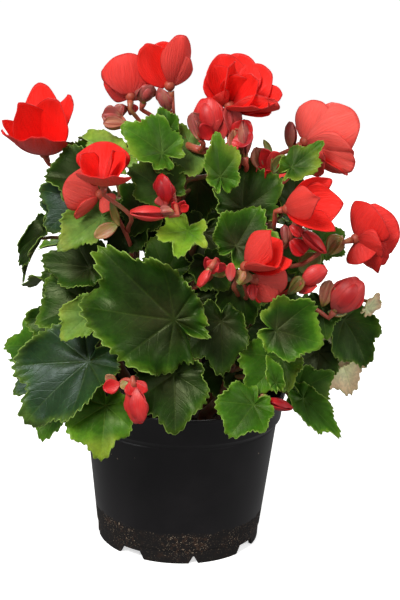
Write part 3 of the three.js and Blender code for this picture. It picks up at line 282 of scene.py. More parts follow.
# Stems, each with its leaves and with the stalks of its flowers and buds
SHOOTS = [
    shoot_of(
        "shoot_left_high",
        [[-18, -6], [-24, -14, 130], [-32, -26, 185], [-40, -32, 228]],
        leaf_at(1, [-42, -42, 251], [-67, -18, 257], [0, -3, 9], "pale_green", 0.5, bend=0.9),
        leaf_at(0.9, [-58, -40, 238], [-85, -36, 238], [-4, -8, 5], "dark", 1.15),
        leaf_at(0.75, [-63, -35, 226], [-82, -35, 205], [-3, -9, 4], "blue", 1.2),
        leaf_at(0.6, [-87, -24, 203], [-98, -21, 169], [-8, -6, 2], "dark", 0.45, roll=1.6),
        leaf_at(0.6, [-32, -40, 216], [-42, -42, 192], [-1, -8, 4], "dark", 1.2),
        leaf_at(0.8, [-49, -58, 220], [-72, -68, 200], [-1, -8, 6], "olive", 0.75),
        leaf_at(0.25, [-44, 6, 146], [-58, 4, 126], [-7, 2, 5], "mid", 1.1),
        leaf_at(0.45, [-48, -2, 184], [-62, 6, 166], [-7, 3, 5], "mid_dark", 1.1),
        leaf_at(0.7, [-52, -12, 218], [-62, 4, 204], [-6, 5, 5]),
        leaf_at(0.8, [-21, -30, 213], [-25, -34, 194], [-1, -8, 4], "dark", 1.1),
        leaf_at(0.9, [-62, -24, 245], [-75, -20, 256], [-3, -8, 4], "dark", 1.1),
        leaf_at(0.8, [-28, -42, 224], [-40, -38, 236], [-1, -8, 4], "dark", 1.1),
        leaf_at(0.7, [-73, -26, 215], [-89, -24, 221], [-4, -8, 4], "blue"),
        stalk_to("bloom_far_left", 0.95),
        stalk_to("bloom_left_cup", 0.8, [-34, -56, 214], [-32, -79, 227]),
        stalk_to("bloom_left_fan", 0.7, [-34, -50, 206]),
    ),
    shoot_of(
        "shoot_left_low",
        [[-24, 6], [-38, -10, 110], [-46, -24, 145], [-50, -34, 178]],
        leaf_at(1, [-56, -55, 189], [-85, -46, 189], [-3, -8, 5], "dark"),
        leaf_at(0.9, [-70, -30, 178], [-84, -32, 162], [-4, -8, 4], "dark"),
        leaf_at(0.8, [-57, -54, 168], [-86, -54, 152], [-3, -8, 5], "dark", 1.1),
        leaf_at(0.9, [-52, -80, 169], [-69, -86, 153], [-1, -9, 5], "olive", 0.9),
        leaf_at(0.6, [-54, -78, 139], [-90, -86, 101], [-3, -8, 6], "blue", lean=0.1, wave=0.08),
        leaf_at(0.4, [-92, 16, 116], [-118, 34, 109], [-4, -4, 8], "mid", 1.1),
        leaf_at(0.45, [-70, -24, 102], [-82, -36, 71], [-5, -7, 4], via=[-62, -18, 114]),
        leaf_at(0.4, [-58, 0, 116], [-74, 4, 98], [-7, 3, 5], "dark", 1.1),
        leaf_at(0.6, [-80, -44, 120], [-101, -50, 106], [-3, -8, 5], "blue", 0.9),
        leaf_at(0.7, [-71, -40, 154], [-84, -46, 131], [-3, -8, 5], "dark", 1.2),
    ),
    shoot_of(
        "shoot_front",
        [[-4, -22], [-4, -36, 125], [0, -46, 170], [4, -52, 208]],
        leaf_at(
            0.55, [-5, -88, 169], [-50, -76, 208], [-1, -9, 3], "glossy", 0.88, lean=-0.32, wave=0.1,
            frill=0.08,
        ),
        leaf_at(
            1, [1, -76, 218], [-4, -92, 203], [0, -8, 5], "star", 1.15, cup=0.15, wave=0.12, lobed=0.24,
        ),
        leaf_at(0.95, [10, -44, 210], [2, -56, 182], [0, -8, 4], "dark", 1.2),
        leaf_at(0.6, [7, -52, 171], [19, -58, 150], [0, -8, 4], "dark", 1.1),
        leaf_at(0.9, [-11, -60, 190], [-21, -52, 208], [-1, -8, 4], "mid_dark", 1.15),
        leaf_at(0.85, [13, -58, 196], [25, -60, 180], [1, -8, 4], "dark", 1.15),
        stalk_to("bud_centre", 0.7, [14, -66, 188]),
    ),
    shoot_of(
        "shoot_front_left_low",
        [[-12, -36], [-18, -48, 104], [-20, -58, 118]],
        leaf_at(1, [-43, -88, 116], [-44, -100, 86], [0, -8, 5], "fresh", 1.05),
        leaf_at(0.9, [-4, -86, 136], [-2, -99, 104], [0, -8, 5], "dark", 1.15),
        stalk_to("bud_low_left", 1, [-26, -84, 132]),
    ),
    shoot_of(
        "shoot_front_right_low",
        [[14, -32], [24, -44, 108], [30, -54, 132]],
        leaf_at(1, [22, -71, 164], [24, -78, 133], [0, -9, 3], "dark"),
        leaf_at(0.9, [58, -70, 143], [38, -81, 122], [0, -9, 4], "mid", 1.05),
        leaf_at(0.8, [54, -92, 135], [48, -88, 150], [0, -9, 4], "bright", 0.6, roll=1.2),
        leaf_at(0.6, [42, -92, 121], [28, -104, 104], [0, -8, 5], "olive_bright", 1.2),
        leaf_at(0.5, [25, -42, 125], [24, -48, 106], [0, -8, 4], "dark", 1.1),
        leaf_at(0.8, [35, -50, 131], [44, -58, 115], [1, -8, 4], "dark", 1.2),
        stalk_to("bud_low_right", 0.4, [36, -66, 116]),
    ),
    shoot_of(
        "shoot_right_low",
        [[28, -6], [48, -18, 112], [60, -26, 140], [68, -30, 162]],
        leaf_at(0.9, [53, -88, 165], [80, -86, 157], [1, -9, 3], "rimmed", 1.2, lean=-0.2),
        leaf_at(0.4, [73, -58, 114], [95, -62, 91], [4, -8, 4], "mid", 0.62, roll=0.9),
        leaf_at(0.3, [70, -48, 116], [91, -38, 124], [3, -8, 4]),
        leaf_at(0.9, [99, -16, 152], [114, -24, 123], [4, -8, 5], "mid_dark", 1.1),
        leaf_at(0.5, [96, -2, 130], [108, -8, 99], [3, -8, 3], "yellowed", 1.05),
        leaf_at(1, [111, -28, 163], [117, -28, 174], [6, -7, 2], "yellowed", 0.85),
        leaf_at(0.7, [58, -42, 152], [50, -50, 129], [0, -9, 3], "dark", 1.2),
        leaf_at(1, [82, -40, 168], [85, -48, 148], [2, -9, 4]),
        leaf_at(0.35, [66, -4, 124], [82, -2, 104], [7, 3, 5], "dark", 1.1),
        leaf_at(0.6, [98, -4, 132], [93, -8, 114], [-1, -8, 2], "yellowed", 1.2),
        leaf_at(0.6, [83, -30, 135], [80, -38, 112], [2, -8, 4], "dark", 1.1),
        stalk_to("bud_right_lower", 0.9, [74, -44, 168]),
    ),
    shoot_of(
        "shoot_right_high",
        [[16, -10], [28, -26, 140], [40, -36, 190], [48, -40, 214]],
        leaf_at(0.8, [29, -66, 208], [42, -56, 228], [0, -8, 5], "rimmed", 1.35, cup=0.2),
        leaf_at(1, [64, -34, 225], [61, -24, 246], [2, -8, 5], "dark"),
        leaf_at(0.9, [80, -34, 204], [94, -28, 210], [2, -8, 5], "mid", 1.3),
        leaf_at(0.5, [33, -53, 185], [38, -57, 156], [1, -9, 3], "dark"),
        leaf_at(0.8, [67, -46, 190], [80, -38, 200], [2, -8, 5], "mid", 1.2),
        leaf_at(0.3, [46, 2, 148], [62, 4, 128], [7, 2, 5], "mid", 1.1),
        leaf_at(0.5, [54, -8, 184], [70, 0, 164], [7, 3, 5], "mid_dark", 1.1),
        leaf_at(0.6, [32, -26, 198], [29, -30, 185], [0, -8, 4], "dark", 1.2),
        leaf_at(0.8, [59, -38, 209], [70, -46, 194], [2, -8, 4], "dark", 1.25),
        leaf_at(0.5, [52, -46, 175], [68, -52, 164], [2, -8, 4], "mid_dark", 1.2),
        stalk_to("bloom_right_cup", 0.9, [50, -58, 216]),
        stalk_to("bloom_far_right", 0.7, [66, -58, 196], [84, -62, 210]),
        stalk_to("bloom_front_cup", 0.5, [30, -70, 182], [28, -86, 190]),
        stalk_to("bloom_front_shell", 0.5, [36, -72, 182]),
        stalk_to("bud_right_upper", 0.8, [58, -60, 208]),
        stalk_to("bud_right_middle", 0.6, [54, -68, 180]),
    ),
    shoot_of(
        "shoot_centre",
        [[-4, -4], [-8, -16, 150], [-6, -32, 215], [-2, -40, 248]],
        leaf_at(1, [-15, -72, 261], [-39, -68, 274], [1, -8, 6], "bright", lean=0.1),
        leaf_at(0.9, [2, -50, 259], [-18, -60, 246], [0, -8, 6], "olive", 1.2),
        leaf_at(0.9, [18, -72, 249], [14, -66, 273], [2, -9, 2], "bright", 0.75),
        leaf_at(0.8, [6, -24, 238], [4, -30, 208], [1, -8, 4], "dark"),
        leaf_at(0.7, [-13, -64, 238], [-35, -58, 250], [-1, -9, 4], "olive_dark", 1.1),
        leaf_at(0.4, [-14, 8, 190], [-24, 24, 178], [-3, 6, 6]),
        leaf_at(0.65, [-14, -6, 232], [-22, 12, 222], [-3, 6, 6], "mid_dark"),
        leaf_at(0.6, [16, -24, 180], [19, -28, 164], [1, -8, 4], "dark", 1.2),
        leaf_at(1, [-14, -50, 269], [-18, -48, 284], [1, -8, 4], "bright", 0.9),
        leaf_at(0.5, [-22, -40, 224], [-34, -46, 206], [-1, -8, 4], "dark", 1.2),
        leaf_at(0.6, [23, -28, 219], [38, -36, 205], [1, -8, 4], "dark", 1.2),
        stalk_to("bloom_top_back", 1, [-27, -22, 268]),
        stalk_to("bloom_top", 1, [-10, -32, 276]),
        stalk_to("bud_top_left", 1, [-20, -25, 273]),
        stalk_to("bud_top_middle", 1, [-8, -36, 270]),
        stalk_to("bud_upper_centre", 0.8, [-10, -58, 230]),
        stalk_to("bud_left_long", 0.8, [-8, -72, 239]),
    ),
    shoot_of(
        "shoot_top_right",
        [[6, 6], [12, -6, 160], [24, -24, 218], [32, -34, 244]],
        leaf_at(0.9, [32, -56, 228], [32, -42, 255], [0, -8, 6], "dark", 1.2),
        leaf_at(1, [59, -56, 253], [76, -47, 265], [2, -7, 7], "bright", 0.8, wave=0.1, lobed=0.16),
        leaf_at(0.45, [26, 8, 196], [36, 26, 184], [3, 6, 6]),
        leaf_at(0.7, [38, -6, 226], [52, 8, 214], [5, 5, 6], "mid_dark"),
        leaf_at(0.8, [46, -32, 228], [59, -24, 241], [1, -8, 5], "dark", 1.1),
        stalk_to("bloom_large", 1, [22, -42, 268]),
        stalk_to("bloom_right_top", 1, [54, -38, 258]),
        stalk_to("bud_cluster_left", 1, [18, -50, 260]),
        stalk_to("bud_cluster_right", 1, [30, -54, 256]),
        stalk_to("bud_right_top", 1, [46, -38, 254]),
    ),
    shoot_of(
        "shoot_back_left",
        [[-20, 22], [-34, 36, 125], [-42, 44, 170], [-46, 44, 214]],
        leaf_at(0.2, [-64, 62, 112], [-84, 84, 92], [-5, 6, 5]),
        leaf_at(0.5, [-56, 74, 152], [-72, 98, 134], [-4, 7, 5]),
        leaf_at(0.6, [-84, 44, 158], [-108, 56, 142], [-7, 4, 5]),
        leaf_at(0.9, [-62, 60, 196], [-80, 82, 184], [-4, 5, 7]),
        leaf_at(1, [-58, 34, 222], [-82, 46, 218], [-4, 3, 8]),
        leaf_at(0.7, [-68, 14, 186], [-94, 8, 182], [-4, 1, 8]),
        leaf_at(0.25, [-50, 30, 122], [-66, 24, 100], [-8, -2, 5], "mid_dark", 1.1),
        leaf_at(0.45, [-58, 26, 160], [-72, 14, 138], [-8, -2, 4], "mid", 1.1),
        leaf_at(0.65, [-60, 34, 206], [-74, 40, 186], [-8, 1, 5], "mid_dark"),
        leaf_at(0.35, [-38, 18, 140], [-46, -2, 128], [-3, -4, 8], "dark"),
        stalk_to("bloom_back_left", 0.8),
    ),
    shoot_of(
        "shoot_back",
        [[2, 26], [4, 40, 125], [4, 46, 175], [2, 38, 226]],
        leaf_at(0.2, [-8, 82, 112], [-14, 110, 92], [-1, 8, 5]),
        leaf_at(0.5, [14, 82, 150], [20, 110, 134], [1, 8, 5]),
        leaf_at(0.8, [-14, 72, 188], [-22, 98, 178], [-1, 6, 7]),
        leaf_at(1, [2, 46, 236], [4, 76, 232], [0, 3, 9]),
        leaf_at(0.9, [-26, 24, 244], [-52, 36, 244], [-2, 2, 9]),
        leaf_at(0.8, [20, 16, 232], [34, -4, 234], [2, -1, 9], "mid", 0.9),
        leaf_at(0.7, [-14, 14, 205], [-26, -8, 206], [-1, -2, 9], "mid", 0.9),
        leaf_at(0.3, [-16, 28, 140], [-32, 20, 122], [-5, -3, 7], "dark"),
        leaf_at(0.4, [22, 26, 146], [40, 18, 128], [5, -3, 7], "dark"),
        leaf_at(0.6, [4, 16, 178], [8, -6, 176], [1, -2, 9], "mid_dark"),
        stalk_to("bloom_back", 0.8),
    ),
    shoot_of(
        "shoot_back_right",
        [[24, 16], [38, 30, 125], [46, 38, 170], [48, 34, 212]],
        leaf_at(0.2, [62, 58, 112], [82, 80, 92], [5, 6, 5]),
        leaf_at(0.5, [86, 34, 146], [110, 46, 130], [7, 4, 5]),
        leaf_at(0.6, [56, 70, 156], [74, 94, 140], [4, 7, 5]),
        leaf_at(0.9, [64, 56, 196], [84, 76, 186], [4, 5, 7]),
        leaf_at(1, [62, 26, 222], [88, 36, 220], [4, 3, 8]),
        leaf_at(0.7, [68, 12, 186], [92, 6, 184], [4, 1, 8]),
        leaf_at(0.25, [54, 24, 122], [70, 16, 100], [8, -2, 5], "mid_dark", 1.1),
        leaf_at(0.45, [62, 20, 160], [76, 8, 138], [8, -2, 4], "mid", 1.1),
        leaf_at(0.65, [62, 30, 204], [76, 38, 184], [8, 1, 5], "mid_dark"),
        stalk_to("bloom_back_right", 0.8),
    ),
]

# Open flowers, each with its core's place, the way it opens, and its petals
BLOOMS = [
    bloom_of(
        "bloom_far_left",
        [-87, -20, 250],
        [-3, -6, 10],
        petal_to([-91, -10, 291], [-1, -9, -1], 24),
        petal_to([-72, -16, 285], [-5, -7, 2], 16, bend=0.25),
        petal_to([-81, -32, 285], [-3, -8, 2], 30, point=0.08),
        petal_to([-100, -34, 281], [3, -8, 3], 28, point=0.1),
        petal_to([-111, -26, 270], [4, -6, 6], 18, point=0.14),
        petal_to([-109, -44, 266], [3, 2, 9], 16),
        petal_to([-87, -52, 264], [0, 7, 6], 32),
    ),
    bloom_of(
        "bloom_left_cup",
        [-47, -78, 244],
        [0, -5, 9],
        petal_to([-48, -68, 266], [0, -9, 2], 32),
        petal_to([-34, -84, 261], [-8, -3, 4], 26),
        petal_to([-60, -84, 259], [8, -3, 4], 26),
        petal_to([-45, -108, 253], [0, 6, 7], 32),
        petal_to([-41, -90, 264], [6, -2, 2], 13),
    ),
    bloom_of(
        "bloom_left_fan",
        [-50, -60, 234],
        [-5, -6, 5],
        petal_to([-70, -70, 241], [-1, 8, -1], 27, bend=0.7),
        petal_to([-43, -70, 228], [-2, 8, 2], 14),
        petal_to([-64, -68, 222], [-1, 6, 6], 13),
        pale=0.9,
    ),
    bloom_of(
        "bloom_top_back",
        [-36, -22, 286],
        [0, 6, 8],
        petal_to([-40, -22, 311], [0, 9, -1], 36, bend=0.6, curl=0.9),
        petal_to([-53, -6, 298], [6, 6, 1], 25),
        petal_to([-29, 8, 301], [-6, 6, 1], 20),
        petal_to([-39, 10, 303], [0, -9, 2], 30),
        pale=0.2,
    ),
    bloom_of(
        "bloom_top",
        [-13, -30, 294],
        [-2, -2, 9],
        petal_to([-7, -36, 324], [-4, 7, 0], 22, curl=0.8),
        petal_to([-19, -26, 319], [1, -9, 1], 24),
        petal_to([-29, -36, 317], [4, -8, 1], 24),
        petal_to([-15, -10, 313], [0, -9, 3], 26),
        petal_to([-4, -32, 312], [-3, 7, 0], 18),
        pale=0.6,
    ),
    bloom_of(
        "bloom_large",
        [22, -50, 286],
        [3, -4, 6],
        petal_to([18, -46, 315], [4, -8, 0], 29),
        petal_to([29, -42, 315], [-1, -9, 0], 30),
        petal_to([43, -46, 308], [-4, -8, 1], 28),
        petal_to([51, -56, 295], [-3, -5, 7], 26),
        petal_to([40, -74, 289], [-2, 2, 9], 26),
        petal_to([46, -52, 283], [-3, -3, 9], 20),
        petal_to([23, -58, 312], [8, -4, 0], 14),
        petal_to([36, -62, 304], [-3, -7, 4], 20),
        petal_to([12, -50, 308], [5, -8, 0], 26),
        petal_to([50, -60, 289], [-1, 6, 6], 20),
        petal_to([12, -54, 291], [3, 7, 3], 18),
        petal_to([29, -56, 304], [1, -8, 1], 20, ruffle=0.06),
    ),
    bloom_of(
        "bloom_right_top",
        [67, -36, 265],
        [7, 4, 4],
        petal_to([75, -36, 289], [4, 7, -2], 30, curl=0.8),
        petal_to([96, -48, 282], [1, 8, -2], 34, curl=0.8),
        petal_to([95, -48, 261], [0, 7, 5], 26),
        petal_to([94, -34, 247], [2, -2, 9], 26),
        petal_to([96, -8, 263], [-4, -8, 0], 30),
        petal_to([96, -46, 253], [-1, 7, 4], 26),
        petal_to([77, -46, 247], [3, 7, 3], 16),
        pale=0.9,
    ),
    bloom_of(
        "bloom_right_cup",
        [57, -72, 232],
        [8, -5, 3],
        petal_to([82, -64, 248], [0, -8, -4], 24, point=0.2),
        petal_to([89, -66, 235], [-4, -8, 1], 29, point=0.14),
        petal_to([72, -98, 244], [4, 7, -1], 22, curl=0.8, point=0.2),
        petal_to([83, -86, 224], [-1, -2, 9], 24, point=0.14),
    ),
    bloom_of(
        "bloom_far_right",
        [98, -58, 213],
        [7, 5, 1],
        petal_to([107, -66, 233], [4, 7, -3], 34, curl=0.7),
        petal_to([122, -60, 223], [-1, 8, -1], 34, curl=0.7),
        petal_to([113, -70, 209], [0, 7, 4], 24),
        petal_to([113, -56, 193], [2, 4, 8], 26, point=0.2),
        petal_to([103, -66, 201], [1, 7, 3], 24),
        petal_to([117, -58, 200], [-2, 7, 5], 20),
        pale=0.12,
    ),
    bloom_of(
        "bloom_front_cup",
        [34, -90, 202],
        [4, -5, 7],
        petal_to([47, -98, 225], [6, 5, 1], 23, curl=0.8, point=0.22),
        petal_to([54, -88, 217], [-3, -8, 3], 25, point=0.14),
        petal_to([60, -90, 206], [-3, -5, 8], 22, point=0.2),
        petal_to([50, -108, 207], [0, 4, 9], 22),
    ),
    bloom_of(
        "bloom_front_shell",
        [40, -80, 192],
        [8, -1, -2],
        petal_to([58, -86, 194], [-1, 8, 0], 24, curl=0.9),
        petal_to([53, -84, 184], [-1, 8, 2], 18),
        petal_to([50, -66, 181], [0, -8, 3], 20),
        pale=0.8,
    ),
    bloom_of(
        "bloom_back_left",
        [-66, 74, 214],
        [-5, 6, 5],
        petal_to([-74, 86, 236], [-6, 6, -3], 30),
        petal_to([-89, 82, 222], [2, 7, 5], 30),
        petal_to([-72, 99, 217], [-6, 0, 7], 30),
    ),
    bloom_of(
        "bloom_back",
        [16, 84, 206],
        [1, 8, 5],
        petal_to([20, 99, 228], [0, 8, -3], 30),
        petal_to([6, 107, 214], [7, 3, 5], 30),
        petal_to([31, 105, 209], [-4, 4, 7], 30),
    ),
    bloom_of(
        "bloom_back_right",
        [58, 76, 208],
        [2, 8, 5],
        petal_to([64, 90, 230], [1, 8, -3], 30),
        petal_to([51, 100, 216], [7, 2, 5], 30),
        petal_to([75, 95, 210], [-4, 5, 7], 30),
    ),
]

# Closed buds
BUDS = [
    bud_at("bud_centre", [14, -98, 202], [8, -100, 192], 9, "pink"),
    bud_at("bud_low_left", [-26, -108, 135], [-23, -110, 114], 16, "red", True),
    bud_at("bud_low_right", [49, -86, 122], [65, -84, 117], 10, "dark_red"),
    bud_at("bud_right_upper", [65, -70, 220], [80, -72, 207], 10, "red"),
    bud_at("bud_right_middle", [67, -78, 191], [80, -78, 200], 11, "red", True),
    bud_at("bud_right_lower", [89, -51, 167], [103, -51, 187], 20, "pink", True),
    bud_at("bud_top_left", [-28, -31, 284], [-25, -37, 295], 13, "pink_green"),
    bud_at("bud_top_middle", [-13, -40, 281], [-18, -44, 294], 13, "pink_green"),
    bud_at("bud_upper_centre", [-12, -80, 234], [-14, -82, 251], 15, "dark_red"),
    bud_at("bud_left_long", [-10, -90, 230], [-31, -92, 231], 10, "pink"),
    bud_at("bud_cluster_left", [13, -60, 271], [8, -58, 291], 19, "pink", True),
    bud_at("bud_cluster_right", [32, -60, 259], [30, -60, 280], 15, "pink_green"),
    bud_at("bud_right_top", [59, -38, 261], [58, -39, 277], 8, "pink_green"),
]

# Seed pods behind the flowers: the stalk's end, the flower's end, how far the wings reach, their
# turn about the pod in turns, and a shade from dark red through pink to green
PODS = [
    ([82, -66, 205], [90, -62, 215], 8, 0.3, 0.84),
    ([31, -93, 192], [34, -91, 200], 8, 0.9, 0.8),
    ([39, -84, 181], [39, -82, 190], 5, 0.2, 0.35),
    ([59, -78, 184], [67, -78, 194], 6, 0.5, 0.88),
    ([82, -48, 169], [86, -48, 185], 6, 0.1, 0.74),
    ([59, -70, 222], [65, -72, 216], 5, 0.4, 0.3),
    ([60, -64, 213], [68, -64, 204], 7, 0.8, 0.18),
    ([57, -65.7, 209.9], [56, -63.7, 220.9], 4, 0.2, 0.6),
    ([-41.9, -27.6, 273.9], [-39.9, -27.6, 281.9], 6, 0.4, 0.62),
    ([-40.9, -31.6, 274.9], [-51.9, -33.6, 275.9], 6, 0.7, 0.6),
    ([-36.9, -33.6, 270.9], [-50.9, -35.6, 271.9], 6, 0.1, 0.7),
    ([-36, -22, 275], [-35, -22, 282], 4, 0.3, 0.4),
    ([6, -62, 268], [1, -62, 283], 7, 0.5, 0.62),
    ([24, -60, 268], [21, -60, 287], 9, 0.1, 0.5),
    ([30, -58, 258], [25, -61, 275], 9, 0.3, 0.76),
    ([44, -48, 248], [38, -52, 263], 7, 0.6, 0.72),
    ([-27, -107, 138], [-26, -109, 130], 8, 0.6, 0.22),
    ([-7, -92, 232], [-15, -92, 232], 5, 0.5, 0.66),
    ([-11, -80, 232], [-12, -81, 240], 7, 0.2, 0.5),
    ([18, -95, 206], [14, -97, 201], 5, 0.7, 0.3),
    ([50, -86, 125], [47, -86, 122], 4, 0.2, 0.8),
]

# Bracts at the forks of the stalks: foot, tip, width, the way the inner side faces, and shade
BRACTS = [
    ([-39, -73.9, 219.9], [-52, -75.9, 212.9], 9, [0, -8, 3], 0.8),
    ([-43, -75.9, 232.9], [-38, -73.9, 218.9], 5, [3, -8, 3], 0.9),
    ([46, -46, 240], [42, -50, 256], 9, [0, -8, 3], 0.1),
    ([47, -46, 241], [48, -48, 258], 10, [2, -8, 3], 0.16),
    ([45, -48, 243], [40, -52, 252], 7, [-3, -8, 2], 0.3),
    ([48, -50, 243], [45, -56, 251], 6, [0, -8, 4], 0.2),
    ([51, -48, 245], [50, -52, 260], 9, [4, -7, 2], 0.92),
    ([48.2, -47.5, 258.2], [42.2, -49.5, 267.2], 4, [0, -8, 3], 0.95),
    ([-3.1, -43.6, 261.6], [-6.1, -43.6, 269.6], 5, [0, -8, 3], 0.1),
    ([-3.1, -43.6, 261.6], [-1.1, -43.6, 268.6], 5, [3, -8, 3], 0.14),
    ([-4, -44, 263], [-3, -46, 267], 4, [0, -8, 4], 0.05),
    ([-4, -82, 229], [-8, -84, 236], 5, [-2, -8, 3], 0.15),
    ([-4, -82, 229], [-2, -84, 237], 6, [2, -8, 3], 0.1),
    ([-3.4, -82.7, 230.4], [0.6, -84.7, 234.4], 5, [3, -7, 4], 0.2),
    ([15, -90, 197], [12, -92, 207], 6, [-2, -8, 3], 0.05),
    ([16, -90, 197], [18, -92, 207], 6, [2, -8, 3], 0.08),
    ([18, -90, 198], [22, -92, 204], 6, [3, -7, 3], 0.12),
    ([15.8, -87.5, 196], [24.8, -89.5, 201], 8, [2, -7, 4], 0.88),
    ([-34, -106, 136], [-43, -108, 133], 9, [2, -8, 3], 0.24),
    ([-36, -105, 135], [-42, -104, 140], 7, [0, -8, -2], 0.78),
    ([-25, -106, 138], [-19, -109, 133], 7, [3, -7, 4], 0.28),
    ([-28, -106, 138], [-33, -109, 134], 7, [-3, -7, 4], 0.86),
    ([67.1, -55.3, 191.6], [77.1, -59.3, 203.6], 14, [2, -8, 3], 0.97),
    ([18, -58, 273], [16, -62, 281], 8, [0, -8, 2], 0.86),
    ([24, -62, 267], [34, -63, 279], 14, [1, -8, 3], 0.22),
    ([24, -64, 267], [36, -67, 272], 11, [0, -7, 5], 0.1),
    ([18, -60, 267], [16, -63, 280], 10, [0, -8, 2], 0.44),
    ([12, -62, 268], [6, -66, 277], 10, [-1, -8, 3], 0.16),
    ([21, -64, 267], [27, -68, 264], 9, [0, -6, 6], 0.3),
    ([46, -50, 249], [43, -54, 263], 10, [0, -8, 3], 0.14),
    ([47, -50, 248], [50, -54, 262], 9, [2, -8, 3], 0.3),
    ([48, -50, 248], [54, -54, 260], 8, [3, -8, 3], 0.9),
    ([25.7, -93.6, 194.1], [25.7, -91.6, 204.1], 7, [-4, -8, 2], 0.45),
    ([65.3, -76.5, 184.5], [75.3, -78.5, 189.5], 6, [0, -6, 6], 0.4),
    ([85.6, -46.4, 165.4], [96.6, -50.4, 165.4], 7, [0, -5, 7], 0.9),
]

# Small forking stalks that carry pods and bracts: their radius and the points they pass
TWIGS = [
    (1.2, [-28.9, -31.6, 267.9], [-32.9, -33.6, 267.9], [-36.9, -33.6, 270.9]),
    (1.1, [-36.9, -33.6, 268.9], [-38.9, -31.6, 272.9], [-40.9, -29.6, 274.9]),
    (2.4, [12, -54, 260], [5, -54, 261], [-2, -46, 262]),
    (1.5, [6, -56, 261], [8, -60, 265], [6, -62, 268]),
    (1.7, [32, -38, 243], [27, -52, 255], [24, -61, 267]),
    (1.4, [24, -61, 267], [19, -60, 264], [12, -61, 267]),
    (1.4, [32, -40, 244], [33, -54, 253], [30, -57, 258]),
    (1.6, [47, -46, 239], [45, -47, 244], [45, -49, 249]),
    (2, [47, -44, 222], [46, -44, 231], [47, -46, 240]),
    (1.8, [47, -46, 239], [53, -44, 241], [60, -42, 247]),
    (1.3, [-35, -104, 134], [-31, -105, 138], [-27, -107, 138]),
]


# Vectors and curves
def vec(point):
    return np.array(point, dtype=float)


def unit(vector):
    return vector / np.linalg.norm(vector)


def bump(x):
    return np.exp(-x * x)


def full_turn(sides):
    """Angles at even steps once round."""
    return np.linspace(0, 2 * math.pi, sides, endpoint=False)


def spline(points, count):
    """Points along a centripetal Catmull-Rom curve, at even steps of its parameter."""
    points = [vec(p) for p in points]
    before = 2 * points[0] - points[1]
    after = 2 * points[-1] - points[-2]
    knots = [before, *points, after]
    result = []
    for step in np.linspace(0, len(points) - 1, count):
        index = min(int(step), len(points) - 2)
        t = step - index
        p0, p1, p2, p3 = knots[index : index + 4]
        d0, d1, d2 = (math.sqrt(np.linalg.norm(b - a)) for a, b in ((p0, p1), (p1, p2), (p2, p3)))
        m1 = d1 * ((p1 - p0) / d0 - (p2 - p0) / (d0 + d1) + (p2 - p1) / d1)
        m2 = d1 * ((p2 - p1) / d1 - (p3 - p1) / (d1 + d2) + (p3 - p2) / d2)
        rise = 3 * (p2 - p1) - 2 * m1 - m2
        fall = 2 * (p1 - p2) + m1 + m2
        result.append(p1 + m1 * t + rise * t**2 + fall * t**3)
    return result


def spline_point(points, share):
    steps = 400
    return spline(points, steps + 1)[round(share * steps)]


def bezier(p0, p1, p2, p3, count):
    result = []
    for t in np.linspace(0, 1, count):
        u = 1 - t
        result.append(u**3 * p0 + 3 * u * u * t * p1 + 3 * u * t * t * p2 + t**3 * p3)
    return result


# Objects and meshes
def place_new(name, data):
    made = bpy.data.objects.new(name, data)
    bpy.context.scene.collection.objects.link(made)
    return made


def mesh_object(name, points, faces, materials):
    mesh = bpy.data.meshes.new(name)
    mesh.from_pydata((np.array(points) * MM).tolist(), [], faces)
    for material in materials:
        mesh.materials.append(material)
    mesh.polygons.foreach_set("use_smooth", np.ones(len(faces), dtype=bool))
    return place_new(name, mesh)


# A growing mesh: its points, its faces with their material slots, and a tone and a place at each
# point. On a blade a tone is brightness, share of the way to the rim, yellowing and a draw; a
# yellowing below 0 greys the blade to blue as a painted sheen. On a petal it is shade, share of
# the way to the tip, share of the way across, and phase. A place is where the point lies on the
# flattened piece, in millimetres.
class Build:
    def __init__(self):
        self.points = []
        self.faces = []
        self.slots = []
        self.tones = []
        self.places = []

    def add(self, points, faces, slots, tones, places):
        first = len(self.points)
        self.points.extend(np.asarray(points).tolist())
        self.faces.extend([[first + i for i in face] for face in faces])
        self.slots.extend(slots)
        self.tones.extend(np.asarray(tones, dtype=float).tolist())
        self.places.extend(np.asarray(places, dtype=float).tolist())

    def finish(self, name, materials):
        piece = mesh_object(name, self.points, self.faces, materials)
        mesh = piece.data
        mesh.polygons.foreach_set("material_index", np.array(self.slots, dtype=np.int32))
        tone = mesh.color_attributes.new("tone", "FLOAT_COLOR", "POINT")
        tone.data.foreach_set("color", np.array(self.tones).ravel())
        corners = np.empty(len(mesh.loops), dtype=np.int32)
        mesh.loops.foreach_get("vertex_index", corners)
        place = mesh.uv_layers.new(name="place")
        place.data.foreach_set("uv", np.array(self.places)[corners].ravel())
        mesh.update()
        return piece


def tube(build, points, radii, sides, slot, tone=0.0):
    """A round tube through the points, closed at both ends."""
    points = [vec(p) for p in points]
    first = unit(points[1] - points[0])
    start = np.array([1.0, 0, 0]) if abs(first[2]) > 0.9 else UP
    side = unit(np.cross(start, first))
    angles = full_turn(sides)
    ring_points = []
    tones = []
    places = []
    run = 0.0
    for i, point in enumerate(points):
        before = points[max(i - 1, 0)]
        after = points[min(i + 1, len(points) - 1)]
        along = unit(after - before)
        side = unit(side - along * side.dot(along))
        other = np.cross(along, side)
        run += np.linalg.norm(point - before)
        spokes = np.outer(np.cos(angles), side) + np.outer(np.sin(angles), other)
        ring_points.extend(point + radii[i] * spokes)
        tones.extend([[tone, i / (len(points) - 1), 0, 1]] * sides)
        places.extend([[angle * radii[i], run] for angle in angles])
    faces = []
    for i in range(len(points) - 1):
        for k in range(sides):
            a = i * sides + k
            b = i * sides + (k + 1) % sides
            faces.append([a, b, b + sides, a + sides])
    last = (len(points) - 1) * sides
    faces.append(list(reversed(range(sides))))
    faces.append(list(range(last, last + sides)))
    build.add(ring_points, faces, [slot] * len(faces), tones, places)


